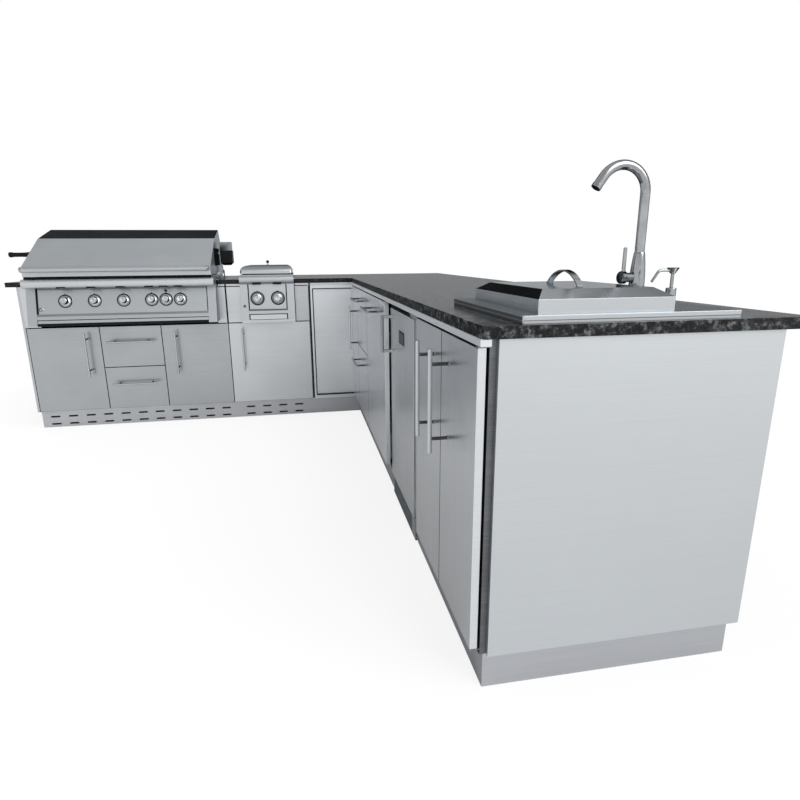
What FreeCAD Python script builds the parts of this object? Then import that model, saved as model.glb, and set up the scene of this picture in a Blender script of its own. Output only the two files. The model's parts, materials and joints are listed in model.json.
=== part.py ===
"""L-shaped outdoor kitchen island, built piece by piece in millimetres, +Z up.

Layout frame: x = 0 lies near the plane of the long run's fronts, y = 0 on the outer face of
the near end panel and z = 0 on the floor. Run A stands across the back and carries the grill,
run B comes towards the viewer and carries the sink. Saved pieces are moved so that the origin
is the middle of the near corner levelling foot's pad.
"""
import math
import os

import FreeCAD
import Part

V = FreeCAD.Vector

# Cabinet run B, which comes towards the viewer, from the near end to the inner corner.
END_PANEL_T = 14.0
SINK_CAB_W = 609.0
FRIDGE_BAY_W = 641.0
PULLOUT_CAB_W = 612.0
DRAWER_CAB_W = 450.0
CORNER_FRONT_B = 311.0
CORNER_FILLER = 21.0
CORNER_DOOR_GAP = 4.0
CORNER_POST = 47.0

# Cabinet run A, across the back, from the inner corner to the left end.
CORNER_FRONT_A = 286.0
SIDE_LEFT_MARGIN = 93.5
SIDE_RIGHT_MARGIN = 90.5
GRILL_LEFT_MARGIN = 99.0
GRILL_RIGHT_MARGIN = 71.0

# Heights and depths of the cabinets and the stone.
TOE_H = 115.0
TOE_T = 18.0
TOE_RECESS_B = 39.0
TOE_RECESS_A = 51.0
TOE_RECESS_END = 35.5
CARCASS_TOP = 887.0
FRIDGE_BACK_GAP = 83.0
CARCASS_DEPTH_A = 717.0
COUNTER_T = 27.4
BACK_OVERHANG = 57.0
NEAR_OVERHANG = 14.0
COUNTER_FRONT_SET = 2.0

# Cabinet boards, fronts and the rail below the stone.
PANEL = 12.0
BACK_RAIL_W = 80.0
FRONT_RAIL_H = 18.0
FRONT_RAIL_SET = 36.0
FRONT_T = 20.0
SKIN = 2.0
FRONT_GAP = 3.0
BUMPER_GAP = 6.0
RAIL_H = 17.0
RAIL_SET = 1.0
TOP_REVEAL_B = 21.0
FRONT_RISE_B = 17.0
FRONT_DROP_A = 247.0
FRONT_RISE_A = 3.0
FIXED_PLATE_DROP = 242.0
FRONT_EDGE_R = 1.5
SINK_DOOR_SPLIT = 309.0
UPPER_FRONT_H_B = 337.0
UPPER_FRONT_H_A = 256.0
GRILL_DOOR_W = 407.0
FRAME_SIDE = 28.0
FRAME_FOOT = 20.0
FRAME_SET = 10.0

# Vent slots in the plinth below run A.
VENT_LOW_Z = 21.0
VENT_HIGH_Z = 69.0
VENT_L = 56.0
VENT_H = 11.0
VENT_END_R = 5.0
VENTS_GRILL = 11
VENTS_BURNER = 4
VENT_MARGIN_GRILL = 10.0
VENT_MARGIN_BURNER = 44.0

# Pull handles.
HANDLE_L = 272.0
HANDLE_R = 6.0
HANDLE_POST_R = 4.5
HANDLE_PITCH = 194.0
HANDLE_REACH = 48.0
DOOR_HANDLE_INSET = 75.0
RIGHT_DOOR_HANDLE_INSET = 85.0
SINK_HANDLE_INSET = 71.5
SINK_HANDLE_DROP = 192.0
GRILL_HANDLE_DROP = 169.0
BURNER_HANDLE_DROP = 167.0
CORNER_HANDLE_DROP = 257.0
CORNER_HANDLE_INSET = 17.5
DRAWER_HANDLE_DROP = 54.0
DRAWER_HANDLE_DROP_LOW = 76.0
PULLOUT_HANDLE_DROP = 61.0
UPPER_HANDLE_DROP_A = 92.0
LOWER_HANDLE_DROP_A = 102.0

# Pivot hinges: a plate on the cabinet carries a pin that stands in the door's edge.
PIVOT_INSET = 6.0
PIVOT_PIN_R = 2.5
PIVOT_PIN_L = 12.0
PIVOT_PLATE_T = 1.6
PIVOT_PLATE_W = 14.0
PIVOT_BLOCK_W = 16.0
PIVOT_BLOCK_H = 18.0
RUNNING_FIT = 0.05
BORE_END_PLAY = 1.0

# Drawer boxes, their slides, and the pull-out's frame and bins.
SHEET = 2.0
SLIDE_T = 6.0
SLIDE_H = 40.0
SLIDE_PLAY = 0.4
DRAWER_DEPTH = 520.0
DRAWER_BOX_DROP = 40.0
DRAWER_FLOOR_RISE = 24.0
PULLOUT_SIDE_H = 120.0
BIN_H = 500.0
BIN_DEPTH = 420.0
BIN_PLAY = 6.0

# Levelling feet.
FOOT_R = 25.0
FOOT_H = 12.0
FOOT_STEM_R = 6.0
FOOT_INSET = 90.0

# Grill, measured from the middle of its width; set-backs count from run A's fronts.
GRILL_FACE_LAP = 24.0
FIREBOX_W = 1012.0
FIREBOX_WALL = 2.5
FIREBOX_FRONT = -35.0
FIREBOX_DEPTH = 520.0
FIREBOX_DROP = 175.0
FIREBOX_RIM_RISE = 30.6
FIREBOX_BACK_RISE = 25.6
FLANGE_T = 4.0
FLANGE_EDGE = 2.0
NOTCH_PLAY = 10.0
NOTCH_BACK = 505.0
GRATE_LEDGE_T = 4.0
GRATE_LEDGE_W = 14.0
FASCIA_TOP_DROP = 2.0
FASCIA_DROP = 221.0
FASCIA_PROUD = 82.0
FASCIA_SLOPE = 0.2174
FASCIA_T = 4.0
FASCIA_CHEEK_PLAY = 0.5
PILLAR_W = 50.0
PILLAR_T = 8.0
TRIM_DROP = 172.0
TRIM_H = 28.0
TRIM_T = 5.0
PANEL_FOOT_DROP = 187.0
BULLNOSE_SET = 2.0
BULLNOSE_PROUD = 152.0
BULLNOSE_H = 50.0
BULLNOSE_R = 20.0
BULLNOSE_WALL = 3.0
BUMPER_R = 8.0
BUMPER_INSET = 60.0

# Grill lid, a folded hood between two end walls.
LID_OVERHANG = 11.0
LID_WALL = 2.5
LID_BOTTOM_RISE = 35.6
LID_FRONT_PROUD = 137.0
LID_LIP_H = 53.0
LID_FOLD_BACK = 153.0
LID_FOLD_RISE = 254.6
LID_TOP_BACK = 368.0
LID_TOP_RISE = 315.6
LID_SHOULDER_BACK = 428.0
LID_SHOULDER_RISE = 250.6
LID_FOOT_BACK = 513.0
LID_HINGE_BACK = 493.0
LID_HINGE_RISE = 37.6
LID_PIN_R = 4.0
LID_PIN_REACH = 6.0
LID_EAR_R = 12.0
LID_EAR_T = 6.0
LID_EAR_PLAY = 1.0
LID_HANDLE_SET = 10.0
LID_HANDLE_R = 15.0
LID_HANDLE_PROUD = 180.0
LID_HANDLE_RISE = 75.6
LID_BRACKET_T = 10.0
LID_BRACKET_H = 24.0
LID_BRACKET_INSET = 22.0

# Rotisserie.
SPIT_BACK = 233.0
SPIT_RISE = 160.6
SPIT_R = 6.0
SPIT_SLOT_PLAY = 9.0
SPIT_REACH = 726.0
SPIT_GRIP_R = 16.0
SPIT_GRIP_L = 130.0
SPIT_REST_W = 40.0
SPIT_REST_T = 4.0
SPIT_REST_RISE = 14.0
SPIT_REST_PLAY = 9.0
MOTOR_W = 78.0
MOTOR_D = 72.0
MOTOR_RISE = 85.6
MOTOR_SPLIT_RISE = 179.6
MOTOR_TOP_RISE = 233.6
MOTOR_CAP_SET = 4.0
MOTOR_CHAMFER = 16.0
MOTOR_PLATE_T = 4.0
MOTOR_LID_PLAY = 17.0
MOTOR_SOCKET_R = 6.5
MOTOR_SOCKET_L = 14.0
FORK_X = 250.0
FORK_HUB_R = 12.0
FORK_HUB_L = 22.0
FORK_REACH = 36.0
FORK_PRONG_R = 3.0
FORK_PRONG_L = 90.0

# Burners, flame tamers and grates.
BURNER_PITCH = 190.0
BURNER_COUNT = 5
BURNER_R = 14.0
BURNER_L = 470.0
BURNER_DROP = 97.0
TAMER_W = 120.0
TAMER_TOP_DROP = 47.0
TAMER_DROP = 30.0
GRATE_COUNT = 4
GRATE_RISE = 10.6
GRATE_H = 10.0
GRATE_BAR_W = 8.0
GRATE_BARS = 12
GRATE_PLAY = 1.0

# Controls.
KNOB_OFFSETS = (-324.0, -163.0, -2.0, 156.0, 238.0, 321.0)
KNOB_DROP = 81.0
KNOB_R = 19.0
KNOB_FLANGE_R = 27.0
KNOB_FLANGE_T = 6.0
KNOB_H = 34.0
KNOB_PLAY = 1.0
BEZEL_R = 40.0
BEZEL_BORE_PLAY = 1.5
BEZEL_T = 6.0
STEM_R = 4.0
STEM_OUT = 22.0
VALVE_R = 13.0
VALVE_L = 40.0
VALVE_SET = 6.0
MANIFOLD_R = 10.0
MANIFOLD_DROP = 34.0
IGNITER_OFFSET = 239.0
IGNITER_DROP = 30.0
IGNITER_R = 7.0
IGNITER_OUT = 8.0
IGNITER_IN = 12.0
IGNITER_TRAVEL = 4.0
IGNITER_SLEEVE_R = 10.0
IGNITER_CUP = 20.0

# Drip tray.
TRAY_FRONT_H = 33.0
TRAY_FRONT_DROP = 2.0
TRAY_PAN_SET = 34.0
TRAY_PAN_H = 22.0
TRAY_PAN_DROP = 217.0
TRAY_DEPTH = 430.0
TRAY_RAIL_W = 12.0
TRAY_RAIL_L = 320.0
TRAY_SIDE_PLAY = 1.5

# Side burner.
SIDE_W = 333.0
SIDE_WALL = 2.5
SIDE_PROUD = 50.0
SIDE_SLOPE = 0.046
SIDE_FASCIA_TOP_DROP = 6.0
SIDE_FASCIA_DROP = 224.0
SIDE_PILLAR_W = 46.0
SIDE_PILLAR_T = 6.0
SIDE_BULLNOSE_PROUD = 75.0
SIDE_BULLNOSE_H = 44.0
SIDE_BULLNOSE_DROP = 22.4
SIDE_BODY_FRONT = -37.0
SIDE_BODY_DEPTH = 500.0
SIDE_TRAY_DROP = 70.0
SIDE_RIM_RISE = 27.6
SIDE_DECK_BACK = 80.0
SIDE_FLANGE_LAP = 8.0
SIDE_NOTCH_PLAY = 4.0
SIDE_LID_PLAY = 5.5
SIDE_LID_RISE = 35.6
SIDE_LID_H = 48.0
SIDE_LID_R = 40.0
SIDE_LID_CORNER_R = 20.0
SIDE_LID_WALL = 2.0
SIDE_LID_FRONT = -40.0
SIDE_LID_BACK = 451.0
SIDE_HINGE_BACK = 443.0
SIDE_HINGE_RISE = 45.6
SIDE_PIN_R = 3.0
SIDE_EAR_R = 8.0
SIDE_EAR_T = 3.0
SIDE_KNOB_OFFSETS = (-63.0, 63.0)
SIDE_KNOB_DROP = 89.0
SIDE_RING_R = 52.0
SIDE_RING_BORE = 30.0
SIDE_RING_H = 22.0
SIDE_RING_BACK = 180.0
SIDE_GRATE_W = 240.0
SIDE_GRATE_RISE = 10.6
SIDE_BALL_R = 10.0
SIDE_BALL_BACK = 250.0
SIDE_BALL_NECK_R = 4.0
SIDE_BALL_NECK = 12.0

# Fridge.
FRIDGE_W = 470.0
FRIDGE_SET = 25.0
FRIDGE_DOOR_T = 44.0
FRIDGE_DOOR_DROP = 45.0
FRIDGE_DOOR_RISE = 3.0
FRIDGE_TOP_DROP = 18.0
FRIDGE_BOTTOM = 97.0
FRIDGE_WALL = 30.0
FRIDGE_DEPTH = 560.0
FRIDGE_SIDE_PLAY = 8.0
FRIDGE_PIVOT_INSET = 8.0
GASKET_T = 5.5
GASKET_W = 14.0
GASKET_INSET = 4.0
FRIDGE_HANDLE_L = 153.0
FRIDGE_HANDLE_W = 18.0
FRIDGE_HANDLE_T = 12.0
FRIDGE_HANDLE_INSET = 76.0
FRIDGE_HANDLE_DROP = 145.5
FRIDGE_HINGE_COVER_W = 54.0
FRIDGE_GRILLE_SET = 33.0
FRIDGE_GRILLE_T = 4.0
FRIDGE_FOOT_H = 5.0
FRIDGE_FOOT_R = 15.0
FRIDGE_LOUVRES = 6
FRIDGE_LOUVRE_H = 8.0
FRIDGE_SHELVES = 3
FRIDGE_SHELF_T = 5.0
FRIDGE_SHELF_SET = 20.0
FRIDGE_BRACKET_L = 40.0
FRIDGE_BRACKET_INSET = 60.0
COMPRESSOR_R = 55.0
COMPRESSOR_H = 80.0
FILLER_SET = 42.0

# Sink unit.
SINK_BACK_SET = 123.0
SINK_Y = 0.0
SINK_W = 517.0
SINK_L = 515.0
SINK_DECK_H = 17.5
SINK_WALL = 2.0
SINK_DECK_R = 4.0
SINK_BOWL_X = 62.0
SINK_BOWL_W = 300.0
SINK_BOWL_L = 400.0
SINK_BOWL_D = 200.0
SINK_CORNER_R = 30.0
SINK_CUT_PLAY = 8.0
DRAIN_BORE_R = 42.0
DRAIN_FLANGE_R = 46.0
DRAIN_FLANGE_T = 2.0
DRAIN_BODY_L = 30.0
DRAIN_PIPE_R = 20.0
DRAIN_PIPE_L = 150.0

# Sink cover.
COVER_X = 44.0
COVER_Y = 24.0
COVER_W = 321.0
COVER_L = 424.0
COVER_SIDE_H = 30.5
COVER_RISE = 19.0
COVER_HIP_X = 27.0
COVER_HIP_Y = 44.0
COVER_WALL = 2.0
COVER_HANDLE_SPAN = 170.0
COVER_HANDLE_H = 36.0
COVER_HANDLE_W = 16.0
COVER_HANDLE_T = 4.0

# Faucet and soap dispenser.
FAUCET_X = 505.0
FAUCET_Y = 257.0
FAUCET_BASE_R = 25.0
FAUCET_BASE_H = 6.0
FAUCET_TOP_R = 13.5
FAUCET_BODY_H = 126.0
FAUCET_TAIL_R = 12.0
FAUCET_TAIL_BORE_R = 13.0
FAUCET_NUT_R = 24.0
FAUCET_NUT_H = 10.0
SPOUT_R = 12.0
SPOUT_WALL = 2.0
SPOUT_RISE = 144.0
SPOUT_BEND_R = 64.0
SPOUT_BEND_ANGLE = 145.0
SPOUT_TIP_L = 34.0
SPOUT_TAIL_R = 8.0
SPOUT_TAIL_L = 24.0
LEVER_RISE = 63.0
LEVER_HUB_R = 16.0
LEVER_HUB_X = 453.0
LEVER_HUB_L = 17.0
LEVER_STUB_R = 12.0
LEVER_SPINDLE_R = 5.0
LEVER_SPINDLE_L = 10.0
LEVER_ROD_R = 5.0
LEVER_ROD_INSET = 5.5
LEVER_ROD_TOP = 75.0
SOAP_X = 511.0
SOAP_Y = 125.0
SOAP_BASE_R = 12.0
SOAP_BASE_H = 43.0
SOAP_TAIL_R = 11.0
SOAP_TAIL_BORE_R = 12.5
SOAP_BOTTLE_R = 25.0
SOAP_BOTTLE_H = 120.0
SOAP_STEM_R = 4.0
SOAP_STEM_H = 34.0
SOAP_STEM_IN = 16.0
SOAP_HEAD_R = 14.0
SOAP_HEAD_FOOT_R = 7.0
SOAP_HEAD_H = 13.0
SOAP_SPOUT_R = 3.5
SOAP_ARM_L = 37.0
SOAP_TIP_L = 17.0
SOAP_TIP_DROP = 26.0
TAIL_HOLE_R = 18.0

# Places worked out from the sizes above.
FRONT_B = -3.0
FACE_SET = FRONT_T + BUMPER_GAP
FACE_B = FRONT_B + FACE_SET
FRIDGE_BACK_SET = FRIDGE_SET + FRIDGE_DOOR_T + BUMPER_GAP
CARCASS_DEPTH_B = FRIDGE_BACK_SET - FACE_SET + FRIDGE_DEPTH + FRIDGE_BACK_GAP + PANEL
BACK_B = FACE_B + CARCASS_DEPTH_B
Y_SINK = END_PANEL_T
Y_FRIDGE = Y_SINK + SINK_CAB_W
Y_PULLOUT = Y_FRIDGE + FRIDGE_BAY_W
Y_DRAWERS = Y_PULLOUT + PULLOUT_CAB_W
Y_CORNER = Y_DRAWERS + DRAWER_CAB_W
FRONT_A = Y_CORNER + CORNER_FRONT_B
FACE_A = FRONT_A + FRONT_T + BUMPER_GAP
BACK_A = FACE_A + CARCASS_DEPTH_A
X_CORNER = -CORNER_FRONT_A
BURNER_CAB_W = SIDE_LEFT_MARGIN + SIDE_W + SIDE_RIGHT_MARGIN
X_BURNER = X_CORNER - BURNER_CAB_W
GRILL_CAB_W = GRILL_LEFT_MARGIN + FIREBOX_W + GRILL_RIGHT_MARGIN
X_GRILL = X_BURNER - GRILL_CAB_W
X_LEFT = X_GRILL - END_PANEL_T
COUNTER_TOP = CARCASS_TOP + COUNTER_T
RAIL_Z = CARCASS_TOP - RAIL_H
HALF_GAP = FRONT_GAP / 2
DIVIDER_LEFT = X_GRILL + FRONT_GAP + GRILL_DOOR_W + HALF_GAP
DIVIDER_RIGHT = X_BURNER - HALF_GAP - GRILL_DOOR_W - HALF_GAP
FRIDGE_Y = Y_PULLOUT - FRIDGE_SIDE_PLAY - FRIDGE_W
SINK_X = BACK_B - SINK_BACK_SET - SINK_W
SINK_TOP = COUNTER_TOP + SINK_DECK_H
LEVER_Z = SINK_TOP + LEVER_RISE
FIREBOX_BACK = FIREBOX_FRONT + FIREBOX_DEPTH
GRILL_X = X_BURNER - GRILL_RIGHT_MARGIN - FIREBOX_W / 2
GRILL_W = FIREBOX_W + GRILL_FACE_LAP * 2
BULLNOSE_W = GRILL_W - BULLNOSE_SET * 2
LID_W = FIREBOX_W + LID_OVERHANG * 2
LID_HANDLE_L = LID_W - LID_HANDLE_SET * 2
SPIT_LEFT = GRILL_X - SPIT_REACH
SPIT_REST_X = LID_W / 2 + SPIT_REST_PLAY
MOTOR_PLATE_X = LID_W / 2 + MOTOR_LID_PLAY
FLANGE_LAP = LID_OVERHANG + MOTOR_LID_PLAY + MOTOR_PLATE_T + FLANGE_EDGE
TRAY_PAN_W = FIREBOX_W - TRAY_PAN_SET * 2
SIDE_X = X_CORNER - SIDE_RIGHT_MARGIN - SIDE_W / 2
SIDE_LID_W = SIDE_W - SIDE_LID_PLAY * 2
FRONT_TOP_B = CARCASS_TOP - TOP_REVEAL_B
FASCIA_TOP = CARCASS_TOP - FASCIA_TOP_DROP
FASCIA_BOTTOM = CARCASS_TOP - FASCIA_DROP
FIREBOX_BOTTOM = CARCASS_TOP - FIREBOX_DROP
PANEL_FOOT = CARCASS_TOP - PANEL_FOOT_DROP
TRIM_Z = CARCASS_TOP - TRIM_DROP
BURNER_Z = CARCASS_TOP - BURNER_DROP
TAMER_Z = CARCASS_TOP - TAMER_TOP_DROP
KNOB_Z = CARCASS_TOP - KNOB_DROP
IGNITER_Z = CARCASS_TOP - IGNITER_DROP
TRAY_PAN_BOTTOM = CARCASS_TOP - TRAY_PAN_DROP
SIDE_FASCIA_TOP = CARCASS_TOP - SIDE_FASCIA_TOP_DROP
SIDE_FASCIA_BOTTOM = CARCASS_TOP - SIDE_FASCIA_DROP
SIDE_KNOB_Z = CARCASS_TOP - SIDE_KNOB_DROP
FRIDGE_TOP = CARCASS_TOP - FRIDGE_TOP_DROP
FRIDGE_DOOR_TOP = CARCASS_TOP - FRIDGE_DOOR_DROP
FRIDGE_HANDLE_Z = CARCASS_TOP - FRIDGE_HANDLE_DROP
SINK_HANDLE_Z = CARCASS_TOP - SINK_HANDLE_DROP
CORNER_HANDLE_Z = CARCASS_TOP - CORNER_HANDLE_DROP
FRONT_TOP_A = CARCASS_TOP - FRONT_DROP_A
FIXED_PLATE_BOTTOM = CARCASS_TOP - FIXED_PLATE_DROP
FIREBOX_RIM = COUNTER_TOP + FIREBOX_RIM_RISE
FIREBOX_BACK_RIM = COUNTER_TOP + FIREBOX_BACK_RISE
LID_BOTTOM = COUNTER_TOP + LID_BOTTOM_RISE
LID_FOLD_Z = COUNTER_TOP + LID_FOLD_RISE
LID_TOP_Z = COUNTER_TOP + LID_TOP_RISE
LID_SHOULDER_Z = COUNTER_TOP + LID_SHOULDER_RISE
LID_HINGE_Z = COUNTER_TOP + LID_HINGE_RISE
LID_HANDLE_Z = COUNTER_TOP + LID_HANDLE_RISE
SPIT_Z = COUNTER_TOP + SPIT_RISE
MOTOR_BOTTOM = COUNTER_TOP + MOTOR_RISE
MOTOR_SPLIT = COUNTER_TOP + MOTOR_SPLIT_RISE
MOTOR_TOP = COUNTER_TOP + MOTOR_TOP_RISE
GRATE_TOP = COUNTER_TOP + GRATE_RISE
SIDE_RIM = COUNTER_TOP + SIDE_RIM_RISE
SIDE_LID_Z = COUNTER_TOP + SIDE_LID_RISE
SIDE_HINGE_Z = COUNTER_TOP + SIDE_HINGE_RISE
SIDE_GRATE_Z = COUNTER_TOP + SIDE_GRATE_RISE
SIDE_BULLNOSE_Z = COUNTER_TOP - SIDE_BULLNOSE_DROP
DRAWER_SPLIT_B = FRONT_TOP_B - UPPER_FRONT_H_B
DRAWER_SPLIT_A = FRONT_TOP_A - UPPER_FRONT_H_A
GRILL_HANDLE_Z = FRONT_TOP_A - GRILL_HANDLE_DROP
BURNER_HANDLE_Z = FRONT_TOP_A - BURNER_HANDLE_DROP
FRONT_BOTTOM_B = TOE_H + FRONT_RISE_B
FRONT_BOTTOM_A = TOE_H + FRONT_RISE_A
FRIDGE_DOOR_BOTTOM = FRIDGE_BOTTOM + FRIDGE_DOOR_RISE


def box(x0, x1, y0, y1, z0, z1):
    """A block between three pairs of limits."""
    low = V(min(x0, x1), min(y0, y1), min(z0, z1))
    return Part.makeBox(abs(x1 - x0), abs(y1 - y0), abs(z1 - z0), low)


def slab(run, u0, u1, w0, w1, z0, z1):
    """A block on a run: u along the run, w inwards from the plane of its fronts."""
    if run == "A":
        return box(u0, u1, FRONT_A + w0, FRONT_A + w1, z0, z1)
    return box(FRONT_B + w0, FRONT_B + w1, u0, u1, z0, z1)


def place(run, u, w, z):
    """A point on a run, in the same terms as slab."""
    if run == "A":
        return V(u, FRONT_A + w, z)
    return V(FRONT_B + w, u, z)


def rod(start, end, radius):
    """A round bar from one point to another."""
    line = end - start
    return Part.makeCylinder(radius, line.Length, start, line)


def ring(start, end, radius, bore):
    """A round bar with a bore along it."""
    return rod(start, end, radius).cut(rod(start, end, bore))


def eased(shape, radius, axis=None):
    """The shape with the edges along one axis rounded, or with all of them rounded."""
    edges = []
    for edge in shape.Edges:
        run = edge.Vertexes[-1].Point - edge.Vertexes[0].Point
        if axis is None or run.cross(axis).Length < run.Length / 1000.0:
            edges.append(edge)
    return shape.makeFillet(radius, edges)


def prism_x(points, x0, x1):
    """A solid with one outline in the y-z plane, from x0 to x1."""
    corners = [V(x0, y, z) for y, z in points]
    face = Part.Face(Part.makePolygon(corners + corners[:1]))
    return face.extrude(V(x1 - x0, 0, 0))


def open_box(run, u0, u1, w0, w1, z0, z1, wall):
    """A floor and four walls as separate sheets."""
    foot = z0 + wall
    return [
        slab(run, u0, u1, w0, w1, z0, foot),
        slab(run, u0, u0 + wall, w0, w1, foot, z1),
        slab(run, u1 - wall, u1, w0, w1, foot, z1),
        slab(run, u0 + wall, u1 - wall, w0, w0 + wall, foot, z1),
        slab(run, u0 + wall, u1 - wall, w1 - wall, w1, foot, z1),
    ]


def save(name, solids):
    """Writes one node, moved so that the corner foot's pad is the origin."""
    shapes = solids if isinstance(solids, list) else [solids]
    group = Part.makeCompound(shapes) if len(shapes) > 1 else shapes[0]
    moved = group.copy()
    moved.translate(V(-FOOT_INSET, -FOOT_INSET, 0))
    moved.exportStep(os.path.join("parts", name + ".step"))


def pull_handle(run, u, z, upright):
    """A bar and two posts, standing off a front."""
    half = HANDLE_L / 2
    step = HANDLE_PITCH / 2
    along = (0.0, 1.0) if upright else (1.0, 0.0)
    ends = [place(run, u + along[0] * reach, -HANDLE_REACH, z + along[1] * reach) for reach in (-half, half)]
    bar = rod(ends[0], ends[1], HANDLE_R)
    solids = [bar]
    for side in (-1, 1):
        foot_u = u + along[0] * side * step
        foot_z = z + along[1] * side * step
        post = rod(place(run, foot_u, 0.0, foot_z), place(run, foot_u, -HANDLE_REACH, foot_z), HANDLE_POST_R)
        solids.append(post.cut(bar))
    return solids


def pan_front(run, u0, u1, z0, z1, front=0.0, thickness=FRONT_T):
    """A folded steel front: an outer pan and the sheet that closes its back."""
    back = front + thickness
    outer = eased(slab(run, u0, u1, front, back, z0, z1), FRONT_EDGE_R)
    inner = slab(run, u0 + SKIN, u1 - SKIN, front + SKIN, back + 1, z0 + SKIN, z1 - SKIN)
    cover = slab(run, u0 + SKIN, u1 - SKIN, back - SKIN, back, z0 + SKIN, z1 - SKIN)
    return [outer.cut(inner), cover]


def hinged_front(run, u0, u1, z0, z1, hinge_first, front=0.0, thickness=FRONT_T, inset=PIVOT_INSET):
    """A folded front with a bored block in its top and bottom corner at the hinge edge."""
    pan, cover = pan_front(run, u0, u1, z0, z1, front, thickness)
    sign = 1 if hinge_first else -1
    edge = u0 if hinge_first else u1
    axis_u = edge + sign * inset
    solids = [pan, cover]
    for edge_z, up in ((z0, 1), (z1, -1)):
        start = place(run, axis_u, front + PIVOT_INSET, edge_z - up)
        end = place(run, axis_u, front + PIVOT_INSET, edge_z + up * (PIVOT_PIN_L + BORE_END_PLAY))
        bore = rod(start, end, PIVOT_PIN_R + RUNNING_FIT)
        near = edge + sign * SKIN
        block = slab(run, near, near + sign * PIVOT_BLOCK_W, front + SKIN, front + thickness - SKIN,
                     edge_z + up * SKIN, edge_z + up * (SKIN + PIVOT_BLOCK_H))
        solids[0] = solids[0].cut(bore)
        solids.append(block.cut(bore))
    return solids


def pivot_plates(run, u0, u1, z0, z1, hinge_first, front=0.0, thickness=FRONT_T, inset=PIVOT_INSET):
    """The fixed plates with their pins, above and below a hinged front."""
    sign = 1 if hinge_first else -1
    edge = u0 if hinge_first else u1
    axis_u = edge + sign * inset
    play = (FRONT_GAP - PIVOT_PLATE_T) / 2
    solids = []
    for edge_z, up in ((z0, 1), (z1, -1)):
        near = edge_z - up * play
        far = near - up * PIVOT_PLATE_T
        plate = slab(run, edge, edge + sign * PIVOT_PLATE_W, front, front + thickness + BUMPER_GAP,
                     near, far)
        pin = rod(place(run, axis_u, front + PIVOT_INSET, far),
                  place(run, axis_u, front + PIVOT_INSET, edge_z + up * PIVOT_PIN_L), PIVOT_PIN_R)
        solids.append(plate.fuse(pin))
    return solids


def drawer(run, u0, u1, z0, z1, clear0, clear1, handle_z):
    """A drawer: folded front, handle, and a box of sheets between its slides."""
    solids = pan_front(run, u0, u1, z0, z1)
    solids += pull_handle(run, (u0 + u1) / 2, handle_z, False)
    side0 = clear0 + SLIDE_T + SLIDE_PLAY
    side1 = clear1 - SLIDE_T - SLIDE_PLAY
    floor = z0 + DRAWER_FLOOR_RISE
    top = z1 - DRAWER_BOX_DROP
    return solids + open_box(run, side0, side1, FRONT_T, FRONT_T + DRAWER_DEPTH, floor, top, SHEET)


def runners(run, z0, clear0, clear1):
    """The two slide rails of a drawer, fixed to the boards beside it."""
    low = z0 + DRAWER_FLOOR_RISE
    deep = FACE_SET + DRAWER_DEPTH
    return [
        slab(run, clear0, clear0 + SLIDE_T, FACE_SET, deep, low, low + SLIDE_H),
        slab(run, clear1 - SLIDE_T, clear1, FACE_SET, deep, low, low + SLIDE_H),
    ]


def carcass(run, u0, u1, depth, far_wall=True):
    """Boards of one cabinet: bottom, back, rear rail and its side walls."""
    back = FACE_SET + depth
    inner0 = u0 + PANEL
    inner1 = u1 - PANEL if far_wall else u1
    solids = [
        slab(run, inner0, inner1, FACE_SET, back - PANEL, TOE_H, TOE_H + PANEL),
        slab(run, inner0, inner1, back - PANEL, back, TOE_H, CARCASS_TOP),
        slab(run, inner0, inner1, back - PANEL - BACK_RAIL_W, back - PANEL, CARCASS_TOP - PANEL,
             CARCASS_TOP),
        slab(run, u0, inner0, FACE_SET, back, TOE_H, CARCASS_TOP),
    ]
    if far_wall:
        solids.append(slab(run, inner1, u1, FACE_SET, back, TOE_H, CARCASS_TOP))
    return solids


def carcass_grill():
    """The wide cabinet below the grill, with two dividers and a front rail."""
    shelf = FASCIA_BOTTOM - PANEL * 2
    deep = FACE_SET + CARCASS_DEPTH_A - PANEL
    rail = FACE_SET + FRONT_RAIL_SET
    solids = carcass("A", X_GRILL, X_BURNER, CARCASS_DEPTH_A)
    for middle in (DIVIDER_LEFT, DIVIDER_RIGHT):
        left = middle - PANEL / 2
        solids.append(slab("A", left, left + PANEL, FACE_SET, deep, TOE_H + PANEL, shelf))
    solids.append(slab("A", X_GRILL + PANEL, X_BURNER - PANEL, rail, rail + PANEL,
                       shelf, shelf + FRONT_RAIL_H))
    return solids


def carcass_burner():
    """The cabinet below the side burner, with a front rail."""
    shelf = FASCIA_BOTTOM - PANEL * 2
    rail = FACE_SET + FRONT_RAIL_SET
    solids = carcass("A", X_BURNER, X_CORNER, CARCASS_DEPTH_A)
    solids.append(slab("A", X_BURNER + PANEL, X_CORNER - PANEL, rail, rail + PANEL,
                       shelf, shelf + FRONT_RAIL_H))
    return solids


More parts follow.
